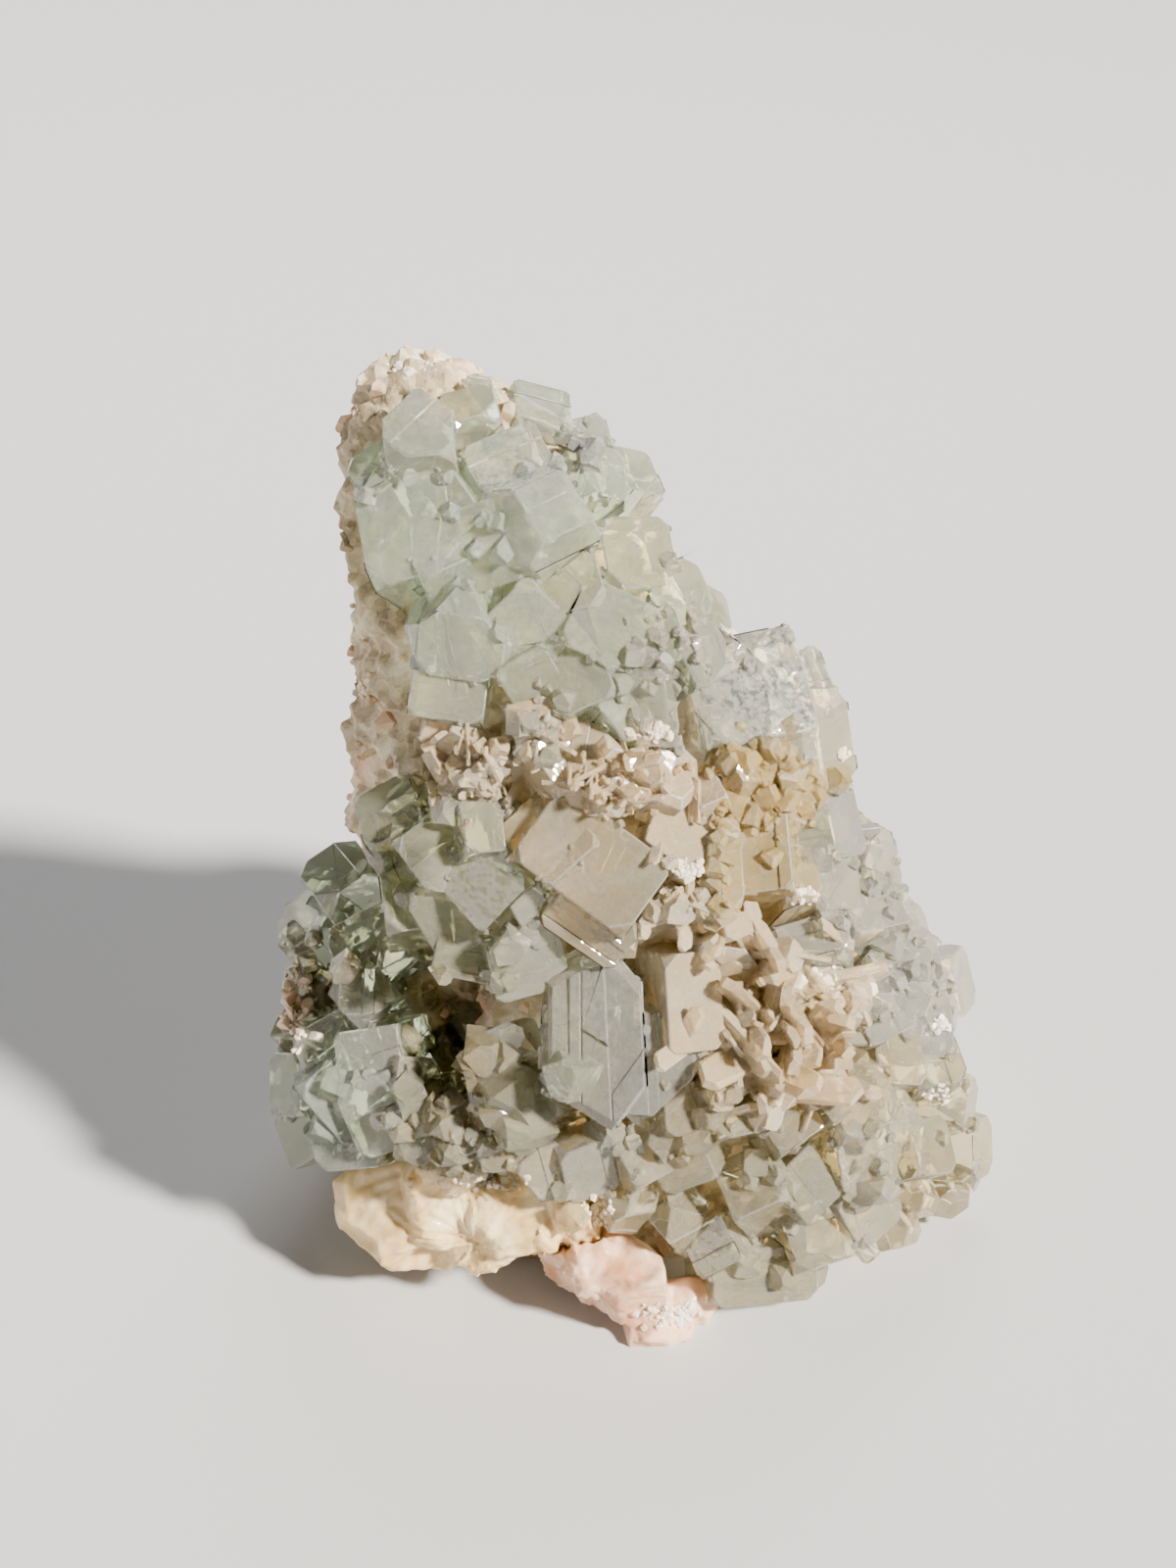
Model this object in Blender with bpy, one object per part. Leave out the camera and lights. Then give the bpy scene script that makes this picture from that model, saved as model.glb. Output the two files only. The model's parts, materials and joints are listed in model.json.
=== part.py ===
"""Apophyllite and stilbite cluster, free-standing on the flat cut of its rock.

The front faces -Y and +Z is up. The origin is the middle of the footprint, on the resting face.
Shapes are worked out in millimetres and become metres when an object is made.
"""

import math
import random
from collections import namedtuple

import bmesh
import bpy
import numpy as np
from mathutils import Matrix, Vector, noise

MM = 0.001

# Driving dimensions, in millimetres. The outer surface of the cluster, cut level at each height.
# The middle of each section drifts back as it rises, because the tower leans away from the front.
LEAN_BACK = 0.08
SQUARENESS = 2.4
Section = namedtuple("Section", "z left right front back")
SECTIONS = (
    Section(z=0, left=-39.0, right=42.0, front=-29.5, back=30.0),
    Section(z=8, left=-41.0, right=42.0, front=-30.5, back=31.0),
    Section(z=16, left=-41.5, right=41.0, front=-30.0, back=31.0),
    Section(z=24, left=-40.5, right=39.5, front=-28.5, back=30.0),
    Section(z=32, left=-35.0, right=34.0, front=-27.0, back=28.5),
    Section(z=40, left=-31.5, right=29.0, front=-25.0, back=27.0),
    Section(z=48, left=-31.0, right=26.0, front=-23.0, back=25.5),
    Section(z=56, left=-31.0, right=24.0, front=-21.0, back=24.0),
    Section(z=64, left=-31.0, right=20.0, front=-18.0, back=22.5),
    Section(z=72, left=-30.0, right=12.0, front=-14.5, back=20.5),
    Section(z=80, left=-30.0, right=5.0, front=-11.0, back=18.5),
    Section(z=88, left=-30.0, right=-2.0, front=-6.5, back=16.5),
    Section(z=93, left=-29.5, right=-11.0, front=-1.0, back=15.0),
    Section(z=99, left=-28.0, right=-19.0, front=3.5, back=11.5),
)
TOP_Z = SECTIONS[-1].z

# The viewpoint that the front crystals are placed from, and the frame that their pixels count in.
FRAME_WIDE, FRAME_TALL = 1200, 1600
FOCAL_SHARE = 50.0 / 36.0
VIEW_DOWN = math.radians(32.0)
VIEW_DISTANCE = 243.0
VIEW_TARGET = Vector((-4.4, 0.0, 51.6))
VIEW_RIGHT = Vector((1.0, 0.0, 0.0))
VIEW_UP = Vector((0.0, math.sin(VIEW_DOWN), math.cos(VIEW_DOWN)))
VIEW_AWAY = Vector((0.0, math.cos(VIEW_DOWN), -math.sin(VIEW_DOWN)))
EYE = VIEW_TARGET - VIEW_AWAY * VIEW_DISTANCE

# Clearance between neighbouring growths, and how far a crystal's root lies under the outer surface.
SEAT_GAP = 0.32
ROOT_SHARE = 0.30
COVER_ROOT_SHARE = 0.45
ROCK_SEAT_SHARE = 1.5
LEAN_SPREAD = 0.38
PYRAMID_SLOPE = math.radians(60.0)
# How much the distances of like faces vary, as shares, and the smallest corner that a pyramid cuts off.
FACE_SPREAD = (0.92, 1.06)
CORNER_SPREAD = (0.7, 1.3)
LEAST_CORNER = 0.03

# Habits of the stilbite and of the crusts.
TABLET_SIDES = 7
TABLET_BEVEL_RISE = 1.1
BLADE_TIP = 40.0
BLADE_TIP_SPREAD = 30.0
BLADE_BEVEL = Vector((0.75, 0.66, 0.2))
LUMP_FACES = 11
GOLDEN_TURN = math.radians(137.5)

# The tall face with a gable. For each side its direction as right and up, its reach and the width of its
# bevel, both as shares of the height.
HouseSide = namedtuple("HouseSide", "right up reach bevel")
HOUSE_SIDES = (
    HouseSide(right=-1.0, up=0.0, reach=0.29, bevel=0.02),
    HouseSide(right=-0.44, up=0.90, reach=0.49, bevel=0.13),
    HouseSide(right=0.46, up=0.89, reach=0.51, bevel=0.13),
    HouseSide(right=1.0, up=0.05, reach=0.26, bevel=0.0),
    HouseSide(right=0.75, up=0.66, reach=0.38, bevel=0.05),
    HouseSide(right=-0.52, up=-0.86, reach=0.44, bevel=0.05),
    HouseSide(right=0.81, up=-0.59, reach=0.40, bevel=0.0),
)

# Corners of one solid that lie this near, in metres, are joined.
NEAR_CORNER = 1e-6

# Seeded crystals that cover the sides and back.
COVER_WANDER = 0.15
COVER_LEAN = 0.45
COVER_SIZES = (0.75, 1.15)
COVER_LENGTH = 1.2

# The rock: mesh fineness, and how thick the crystals lie on it.
ROCK_SPOKES = 48
ROCK_RINGS = 30
ROCK_FACE_SHARE = 0.18
BURIED_RELIEF = 0.12
FRONT_COVER = 9.0
BACK_COVER = 3.0
SIDE_COVER = 7.0
LEFT_FACE_COVER = 0.2
KNOB_COVER = 0.3
LEFT_FOOT_COVER = 5.0
LEFT_FOOT_TOP = (38.0, 46.0)
LEFT_FOOT_AZIMUTHS = (235, 320)
KNOB_HEIGHTS = (84.0, 93.0)
# Azimuth, from 0 at the front and 90 at the right, and how thick the crystals lie there.
COVER_MARKS = ((0, FRONT_COVER), (60, SIDE_COVER), (100, SIDE_COVER), (150, BACK_COVER + 1.5),
               (185, BACK_COVER), (235, BACK_COVER), (262, LEFT_FACE_COVER + 1.0), (280, LEFT_FACE_COVER),
               (310, SIDE_COVER), (360, FRONT_COVER))
# Relief of the broken rock: size of its ledges, how far they and its lumps stand out.
LEDGE_SCALE = 0.11
LEDGE_STEEPNESS = 5.0
LEDGE_RISE = 2.2
LUMP_SCALE = 0.22
LUMP_RISE = 1.2
ROCK_SUNK = 1.0
ROCK_BOTTOM = -6.0
ROCK_LEAST_RADIUS = 0.45
KNOB_MIDDLE_X = -23.5


def section_at(z):
    """Left, right, front and back of the outer surface at one height."""
    heights = [s.z for s in SECTIONS]
    return [float(np.interp(z, heights, [getattr(s, side) for s in SECTIONS]))
            for side in ("left", "right", "front", "back")]


def centre_and_radii(z, toward_back):
    left, right, front, back = section_at(z)
    middle_y = LEAN_BACK * z
    reach_y = (back - middle_y) if toward_back else (middle_y - front)
    return (left + right) / 2, middle_y, (right - left) / 2, reach_y


def outside(point):
    """Below 1 inside the outer surface, 1 on it and more outside."""
    toward_back = point.y > LEAN_BACK * point.z
    cx, cy, rx, ry = centre_and_radii(min(max(point.z, 0.0), TOP_Z), toward_back)
    over_top = max(point.z - TOP_Z, 0.0) / 3.0
    across = abs((point.x - cx) / rx) ** SQUARENESS
    return across + abs((point.y - cy) / ry) ** SQUARENESS + over_top


def outward(point):
    """Unit normal of the outer surface near a point."""
    step = 0.8
    slope = Vector([outside(point + axis * step) - outside(point - axis * step)
                    for axis in (Vector((1, 0, 0)), Vector((0, 1, 0)), Vector((0, 0, 1)))])
    return slope.normalized()


def surface_under_pixel(x, y):
    """Where the line of sight through a pixel first meets the outer surface, or passes nearest to it."""
    focal = FOCAL_SHARE * FRAME_TALL
    sight = (VIEW_AWAY + VIEW_RIGHT * ((x - FRAME_WIDE / 2) / focal)
             - VIEW_UP * ((y - FRAME_TALL / 2) / focal)).normalized()
    nearest = None
    reach = VIEW_DISTANCE - 75.0
    while reach < VIEW_DISTANCE + 75.0:
        point = EYE + sight * reach
        if point.z > -1.0:
            value = outside(point)
            if value <= 1.0:
                return point
            if nearest is None or value < nearest[0]:
                nearest = (value, point)
        reach += 0.5
    return nearest[1]


def surface_at(azimuth, z):
    """A point of the outer surface: azimuth 0 is the front, 90 the right side and 180 the back."""
    angle = math.radians(azimuth - 90.0)
    along_x, along_y = math.cos(angle), math.sin(angle)
    cx, cy, rx, ry = centre_and_radii(z, along_y > 0)
    radius = (abs(along_x / rx) ** SQUARENESS + abs(along_y / ry) ** SQUARENESS) ** (-1 / SQUARENESS)
    return Vector((cx + radius * along_x, cy + radius * along_y, z))


# Solids from planes. A crystal is a list of (unit normal, distance from its centre).
def tetragonal(size, corner, rng):
    """Square prism closed by basal faces, the corners of its free end cut by a steep four-sided pyramid.

    corner is the share of the reach that is cut off, or four shares: +a+b, +a-b, -a+b and -a-b.
    """
    half_a, half_b, half_c = (s / 2 for s in size)
    faces = []
    for normal, half in (((1, 0, 0), half_a), ((0, 1, 0), half_b), ((0, 0, 1), half_c)):
        for sign in (1, -1):
            faces.append((Vector(normal) * sign, half * rng.uniform(*FACE_SPREAD)))
    flat = math.sin(PYRAMID_SLOPE) * math.sqrt(0.5)
    rise = math.cos(PYRAMID_SLOPE)
    reach = flat * (half_a + half_b) + rise * half_c
    corners = [(side_a, side_b) for side_a in (1, -1) for side_b in (1, -1)]
    for place, (side_a, side_b) in enumerate(corners):
        if isinstance(corner, tuple):
            cut = corner[place]
        else:
            cut = max(corner * rng.uniform(*CORNER_SPREAD), LEAST_CORNER)
        faces.append((Vector((flat * side_a, flat * side_b, rise)), reach * (1 - cut)))
    return faces


def tablet(size, corner, rng):
    """Plate across c with an eight-sided outline and a narrow bevel on its free face, as stilbite has."""
    half_a, half_b, half_c = (s / 2 for s in size)
    faces = [(Vector((0, 0, 1)), half_c), (Vector((0, 0, -1)), half_c)]
    start = rng.uniform(0, math.tau)
    for k in range(TABLET_SIDES):
        angle = start + math.tau * (k + rng.uniform(-0.2, 0.2)) / TABLET_SIDES
        flat = Vector((math.cos(angle), math.sin(angle), 0))
        reach = math.hypot(half_a * flat.x, half_b * flat.y)
        faces.append((flat, reach))
        bevel = Vector((flat.x, flat.y, TABLET_BEVEL_RISE))
        faces.append((bevel.normalized(), (reach + TABLET_BEVEL_RISE * half_c) * (1 - corner) / bevel.length))
    return faces


def blade(size, corner, rng):
    """Flat lath standing along c, with a chisel or a point at its ends."""
    half_a, half_b, half_c = (s / 2 for s in size)
    faces = [(Vector((sign, 0, 0)), half_a) for sign in (1, -1)]
    faces += [(Vector((0, sign, 0)), half_b) for sign in (1, -1)]
    tip = math.radians(BLADE_TIP + BLADE_TIP_SPREAD * corner)
    for sign in (1, -1):
        slant = Vector((sign * math.sin(tip), 0, math.cos(tip)))
        faces.append((slant, half_c * math.cos(tip) * rng.uniform(0.95, 1.1)))
        bevel = Vector((sign * BLADE_BEVEL.x, BLADE_BEVEL.y, BLADE_BEVEL.z)).normalized()
        faces.append((bevel, half_a * BLADE_BEVEL.x + half_b * 0.7 * BLADE_BEVEL.y))
    faces.append((Vector((0, 0, -1)), half_c))
    return faces


def lump(size, corner, rng):
    """Rounded many-faced knob, as a granular crust or a worn crystal makes."""
    faces = []
    for k in range(LUMP_FACES):
        up = 1 - 2 * (k + 0.5) / LUMP_FACES
        around = k * GOLDEN_TURN + rng.uniform(-0.3, 0.3)
        flat = math.sqrt(1 - up * up)
        normal = Vector((flat * math.cos(around), flat * math.sin(around), up))
        reach = math.sqrt(sum((normal[i] * size[i] / 2) ** 2 for i in range(3)))
        faces.append((normal, reach * rng.uniform(1 - corner, 1.0)))
    return faces


def house(size, corner, rng):
    """Tall face with vertical sides and a gable over them, each side with its own bevel."""
    half_c = size[2] / 2
    faces = [(Vector((0, 0, 1)), half_c), (Vector((0, 0, -1)), half_c)]
    for side in HOUSE_SIDES:
        flat = Vector((side.right, side.up, 0)).normalized()
        reach = side.reach * size[1]
        faces.append((flat, reach))
        if side.bevel > 0:
            slope = (flat + Vector((0, 0, 1))).normalized()
            faces.append((slope, (reach - side.bevel * size[1] + half_c) * math.sqrt(0.5)))
    return faces


def convex_mesh(faces, placement, grow):
    """Closed bmesh of the space under all the planes, each plane pushed out by grow."""
    bm = bmesh.new()
    bmesh.ops.create_cube(bm, size=120.0)
    for normal, distance in faces:
        cut = bmesh.ops.bisect_plane(
            bm, geom=bm.verts[:] + bm.edges[:] + bm.faces[:], dist=1e-4,
            plane_co=normal * (distance + grow), plane_no=normal, clear_outer=True)
        edges = [item for item in cut["geom_cut"] if isinstance(item, bmesh.types.BMEdge)]
        if len(edges) > 2:
            bmesh.ops.contextual_create(bm, geom=edges)
    bmesh.ops.transform(bm, matrix=placement, verts=bm.verts)
    bmesh.ops.recalc_face_normals(bm, faces=bm.faces)
    return bm


# The crystals that the front shows. x and y are the middle of each, in pixels of the frame, size is
# its real size along its own a, b and c axes, axis is where c points, as right, up and toward the eye.
Crystal = namedtuple("Crystal", "x y size axis turn corner form sink", defaults=(0.16, tetragonal, None))

STEPPED_CRYSTAL = (
    Crystal(x=612, y=1062, size=(11.0, 18.0, 13), axis=(-0.05, 0.08, 1), turn=0, form=house, sink=0.22),
    Crystal(x=600, y=1080, size=(9.0, 8.8, 13), axis=(-0.05, 0.08, 1), turn=0, corner=0.05, sink=0.37),
    Crystal(x=648, y=1092, size=(10.0, 9.2, 13), axis=(0.12, -0.05, 1), turn=42, corner=0.12, sink=0.37),
)
TABULAR_CRYSTAL = (
    Crystal(x=604, y=892, size=(14.5, 9.4, 12), axis=(0.06, 0.12, 1), turn=-36, corner=0.13, sink=0.2),
    Crystal(x=566, y=868, size=(9.0, 7.5, 9), axis=(-0.25, 0.35, 1), turn=-50, corner=0.12, sink=0.3),
    Crystal(x=606, y=934, size=(9.5, 6.0, 11), axis=(-0.1, -0.45, 1), turn=-36, corner=0.12, sink=0.3),
)
SHOULDER_CRYSTAL = (
    Crystal(x=780, y=700, size=(11.5, 12, 14), axis=(0.15, 0.35, 1), turn=14, corner=0.11),
    Crystal(x=822, y=694, size=(6.5, 6.5, 11), axis=(0.3, 0.5, 0.9), turn=22, corner=0.12),
    Crystal(x=832, y=752, size=(8.5, 11, 10), axis=(0.8, 0.3, 0.8), turn=10, corner=0.13),
    Crystal(x=748, y=672, size=(6.5, 6.0, 10), axis=(-0.2, 0.5, 0.9), turn=40, corner=0.11),
)
SUMMIT_CRYSTALS = (
    Crystal(x=431, y=458, size=(7.2, 7.8, 12), axis=(-0.05, 0.42, 0.9), turn=4,
            corner=(0.24, 0.12, 0.26, 0.2), sink=0.1),
    Crystal(x=490, y=428, size=(6.6, 6.4, 10), axis=(0.0, 0.6, 0.8), turn=10, corner=0.14),
    Crystal(x=520, y=480, size=(8.5, 7.0, 11), axis=(0.1, 0.35, 1), turn=30, corner=0.11),
    Crystal(x=548, y=428, size=(6.4, 6.4, 11), axis=(0.1, 0.85, 0.55), turn=6, corner=0.10),
    Crystal(x=591, y=448, size=(5.5, 5.5, 9), axis=(0.5, 0.6, 0.7), turn=30, corner=0.11),
    Crystal(x=604, y=486, size=(6.0, 6.2, 9), axis=(0.35, 0.5, 0.8), turn=8, corner=0.11),
    Crystal(x=642, y=490, size=(6.4, 6.6, 9), axis=(0.75, 0.5, 0.5), turn=18, corner=0.11),
    Crystal(x=546, y=534, size=(13.0, 12.6, 13), axis=(0.38, 0.26, 1), turn=-13,
            corner=(0.47, 0.45, 0.47, 0.44), sink=0.14),
    Crystal(x=505, y=548, size=(8.0, 8.5, 12), axis=(-0.25, -0.1, 1), turn=20, corner=0.11),
    Crystal(x=470, y=525, size=(5.5, 6.5, 10), axis=(0.0, 0.3, 1), turn=35, corner=0.11),
    Crystal(x=410, y=545, size=(9.5, 11.5, 12), axis=(-0.2, 0.1, 1), turn=12, corner=0.13, sink=0.36),
    Crystal(x=386, y=500, size=(6.0, 6.5, 10), axis=(-0.3, 0.5, 0.8), turn=30, corner=0.12, sink=0.4),
    Crystal(x=452, y=578, size=(6.5, 6.5, 10), axis=(0.0, 0.1, 1), turn=25, corner=0.11),
    Crystal(x=471, y=643, size=(9.0, 9.0, 13), axis=(-0.1, -0.5, 0.9), turn=38, corner=0.24, sink=0.3),
    Crystal(x=538, y=628, size=(8.0, 8.0, 12), axis=(0.05, -0.4, 0.9), turn=44, corner=0.16, sink=0.3),
    Crystal(x=590, y=603, size=(6.5, 6.0, 10), axis=(0.2, 0.3, 1), turn=14, corner=0.14),
    Crystal(x=618, y=640, size=(9.5, 7.5, 12), axis=(0.15, 0.0, 1), turn=-24, corner=0.11),
    Crystal(x=640, y=568, size=(8.5, 7.5, 10), axis=(0.5, 0.3, 1), turn=12, corner=0.11),
    Crystal(x=686, y=609, size=(7.0, 6.5, 10), axis=(0.5, 0.4, 0.9), turn=28, corner=0.11),
    Crystal(x=716, y=626, size=(5.0, 5.0, 8), axis=(0.7, 0.4, 0.7), turn=10, corner=0.13),
    Crystal(x=675, y=655, size=(7.0, 6.5, 10), axis=(0.2, 0.1, 1), turn=16, corner=0.11),
    Crystal(x=708, y=672, size=(6.6, 6.8, 10), axis=(0.3, 0.1, 1), turn=36, corner=0.11),
    Crystal(x=664, y=697, size=(6.5, 6.0, 10), axis=(0.0, -0.1, 1), turn=8, corner=0.11),
    Crystal(x=602, y=699, size=(6.5, 6.8, 10), axis=(-0.1, -0.1, 1), turn=22, corner=0.11),
    Crystal(x=632, y=722, size=(6.0, 6.0, 9), axis=(0.1, -0.2, 1), turn=40, corner=0.11),
    Crystal(x=664, y=744, size=(5.6, 4.2, 8), axis=(0.0, -0.2, 1), turn=0, corner=0.2),
    Crystal(x=452, y=706, size=(8.0, 5.6, 9), axis=(-0.1, 0.1, 1), turn=-8, corner=0.12),
    Crystal(x=540, y=684, size=(6.0, 6.0, 9), axis=(0.0, -0.1, 1), turn=30, corner=0.11),
)
STILBITE_BAND = (
    Crystal(x=452, y=752, size=(5.0, 2.6, 11), axis=(-0.35, 0.8, 0.5), turn=10, form=blade),
    Crystal(x=478, y=766, size=(5.5, 2.8, 12), axis=(0.1, 0.75, 0.6), turn=-20, form=blade),
    Crystal(x=505, y=790, size=(5.5, 2.6, 12), axis=(0.35, 0.6, 0.7), turn=24, form=blade),
    Crystal(x=478, y=800, size=(6.5, 5.0, 9), axis=(-0.1, -0.2, 1), turn=20, corner=0.25, form=lump),
    Crystal(x=545, y=742, size=(5.0, 5.0, 11), axis=(-0.1, 0.4, 0.9), turn=20, corner=0.2),
    Crystal(x=560, y=782, size=(5.4, 6.0, 10), axis=(0.1, 0.1, 1), turn=38, corner=0.11),
    Crystal(x=598, y=775, size=(9.0, 7.5, 7), axis=(0.1, 0.1, 1), turn=0, corner=0.12, form=tablet),
    Crystal(x=642, y=786, size=(9.5, 8.0, 8), axis=(0.1, 0.25, 1), turn=18, corner=0.12, form=tablet),
    Crystal(x=607, y=814, size=(8.0, 5.6, 7), axis=(-0.1, -0.2, 1), turn=-10, corner=0.14, form=tablet),
    Crystal(x=680, y=800, size=(6.0, 7.5, 6), axis=(0.4, 0.2, 1), turn=8, corner=0.12, form=tablet),
    Crystal(x=688, y=858, size=(6.4, 8.8, 7), axis=(0.3, 0.1, 1), turn=-16, corner=0.10),
    Crystal(x=731, y=825, size=(3.4, 4.0, 9), axis=(0.05, 0.5, 0.9), turn=20, corner=0.12),
    Crystal(x=702, y=888, size=(4.2, 4.0, 8), axis=(0.0, 0.2, 1), turn=14, corner=0.22, form=lump),
)
AMBER_STILBITE = (
    Crystal(x=782, y=800, size=(9.5, 10.5, 9), axis=(0.15, 0.2, 1), turn=8, corner=0.14, form=tablet),
    Crystal(x=806, y=826, size=(5.0, 6.5, 9), axis=(0.3, 0.1, 1), turn=20, corner=0.24, form=lump),
    Crystal(x=756, y=786, size=(4.6, 5.0, 9), axis=(-0.1, 0.3, 1), turn=0, corner=0.24, form=lump),
    Crystal(x=778, y=884, size=(10.4, 9.8, 11), axis=(0.12, -0.02, 1), turn=4, corner=0.09),
    Crystal(x=741, y=880, size=(3.0, 9.5, 9), axis=(-0.25, 0.0, 1), turn=4, corner=0.10),
    Crystal(x=812, y=904, size=(4.6, 6.5, 8), axis=(0.28, 0.2, 1), turn=16, corner=0.14),
)
LEFT_CRYSTALS = (
    Crystal(x=398, y=846, size=(7.0, 6.5, 9), axis=(-0.3, 0.2, 1), turn=20, corner=0.11),
    Crystal(x=440, y=868, size=(8.0, 8.0, 11), axis=(-0.1, 0.1, 1), turn=36, corner=0.11),
    Crystal(x=484, y=858, size=(6.5, 7.0, 10), axis=(0.1, 0.1, 1), turn=12, corner=0.11),
    Crystal(x=412, y=924, size=(8.0, 8.5, 11), axis=(-0.2, 0.0, 1), turn=8, corner=0.11),
    Crystal(x=455, y=928, size=(8.0, 8.5, 11), axis=(0.0, 0.1, 1), turn=30, corner=0.11),
    Crystal(x=502, y=908, size=(8.0, 9.0, 12), axis=(0.0, 0.2, 1), turn=44, corner=0.11),
    Crystal(x=545, y=924, size=(6.5, 7.0, 9), axis=(0.1, -0.1, 1), turn=26, corner=0.11),
    Crystal(x=476, y=975, size=(9.0, 6.5, 10), axis=(0.0, -0.2, 1), turn=-12, corner=0.11),
    Crystal(x=524, y=978, size=(8.5, 7.0, 10), axis=(0.0, -0.1, 1), turn=10, corner=0.11),
)
LOWER_LEFT_CRYSTALS = (
    Crystal(x=352, y=916, size=(7.5, 8.0, 13), axis=(-0.35, 0.7, 0.6), turn=30, corner=0.12, sink=0.2),
    Crystal(x=327, y=952, size=(7.5, 7.5, 12), axis=(-0.6, 0.5, 0.6), turn=14, corner=0.12, sink=0.2),
    Crystal(x=358, y=968, size=(8.0, 7.5, 12), axis=(-0.3, 0.3, 1), turn=24, corner=0.11, sink=0.5),
    Crystal(x=369, y=1018, size=(6.0, 6.2, 10), axis=(-0.1, 0.3, 1), turn=44, corner=0.26, sink=0.1),
    Crystal(x=299, y=1006, size=(4.6, 5.5, 9), axis=(-0.7, 0.3, 0.7), turn=20, corner=0.24, form=lump),
    Crystal(x=294, y=1050, size=(5.0, 6.0, 9), axis=(-0.7, 0.1, 0.7), turn=8, corner=0.24, form=lump),
    Crystal(x=333, y=1066, size=(7.0, 7.0, 11), axis=(-0.3, 0.2, 1), turn=30, corner=0.11),
    Crystal(x=378, y=1078, size=(7.5, 7.0, 11), axis=(0.0, 0.2, 1), turn=10, corner=0.11),
    Crystal(x=340, y=1114, size=(9.5, 9.0, 12), axis=(-0.2, 0.0, 1), turn=40, corner=0.11),
    Crystal(x=388, y=1128, size=(8.5, 8.5, 11), axis=(0.1, 0.0, 1), turn=22, corner=0.11),
    Crystal(x=304, y=1108, size=(6.0, 7.0, 10), axis=(-0.7, 0.1, 0.7), turn=0, corner=0.11),
    Crystal(x=316, y=1160, size=(6.5, 6.5, 10), axis=(-0.5, -0.1, 0.8), turn=30, corner=0.11),
    Crystal(x=356, y=1164, size=(8.0, 6.5, 10), axis=(-0.1, -0.1, 1), turn=8, corner=0.11),
    Crystal(x=432, y=1150, size=(7.5, 7.0, 9), axis=(0.2, 0.1, 1), turn=18, corner=0.11),
)
STILBITE_FANS = (
    Crystal(x=398, y=1236, size=(14.0, 12.0, 7), axis=(-0.25, 0.15, 1), turn=0, corner=0.17, form=tablet),
    Crystal(x=449, y=1228, size=(8.5, 12.5, 6), axis=(0.1, 0.05, 1), turn=-8, corner=0.14, form=tablet),
    Crystal(x=527, y=1248, size=(11.8, 9.4, 7), axis=(0.0, 0.1, 1), turn=0, corner=0.16, form=tablet),
    Crystal(x=486, y=1268, size=(8.0, 8.0, 7), axis=(-0.1, -0.1, 1), turn=20, corner=0.16, form=tablet),
    Crystal(x=430, y=1278, size=(9.5, 6.0, 7), axis=(-0.1, -0.2, 1), turn=0, corner=0.16, form=lump),
    Crystal(x=584, y=1242, size=(3.8, 4.8, 9), axis=(0.1, 0.2, 1), turn=6, corner=0.2),
)
PINK_STILBITE = (
    Crystal(x=636, y=1300, size=(7.5, 7.0, 15), axis=(0.75, -0.35, 0.5), turn=12, corner=0.2, form=blade,
            sink=0.0),
    Crystal(x=612, y=1300, size=(8.0, 6.5, 9), axis=(0.0, 0.1, 1), turn=-8, corner=0.14, form=tablet,
            sink=0.15),
    Crystal(x=668, y=1334, size=(9.5, 6.0, 10), axis=(0.0, -0.2, 1), turn=-14, corner=0.2, form=lump,
            sink=-0.3),
    Crystal(x=704, y=1328, size=(6.0, 5.0, 8), axis=(0.1, 0.0, 1), turn=0, corner=0.2, form=lump, sink=0.0),
)
CREAM_CRYSTALS = (
    Crystal(x=478, y=1150, size=(6.0, 6.0, 9), axis=(-0.1, 0.3, 1), turn=24, corner=0.11),
    Crystal(x=512, y=1164, size=(7.0, 6.5, 9), axis=(0.1, 0.1, 1), turn=8, corner=0.11),
    Crystal(x=545, y=1192, size=(5.5, 6.0, 9), axis=(0.1, 0.1, 1), turn=36, corner=0.11),
    Crystal(x=500, y=1108, size=(6.5, 7.0, 8), axis=(0.1, 0.4, 1), turn=14, corner=0.11),
    Crystal(x=470, y=1196, size=(5.5, 5.5, 9), axis=(0.0, 0.1, 1), turn=30, corner=0.11),
    Crystal(x=590, y=1190, size=(6.0, 6.5, 9), axis=(0.0, 0.0, 1), turn=12, corner=0.11),
    Crystal(x=540, y=1135, size=(5.5, 6.5, 8), axis=(0.0, 0.2, 1), turn=40, corner=0.11),
)
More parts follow.
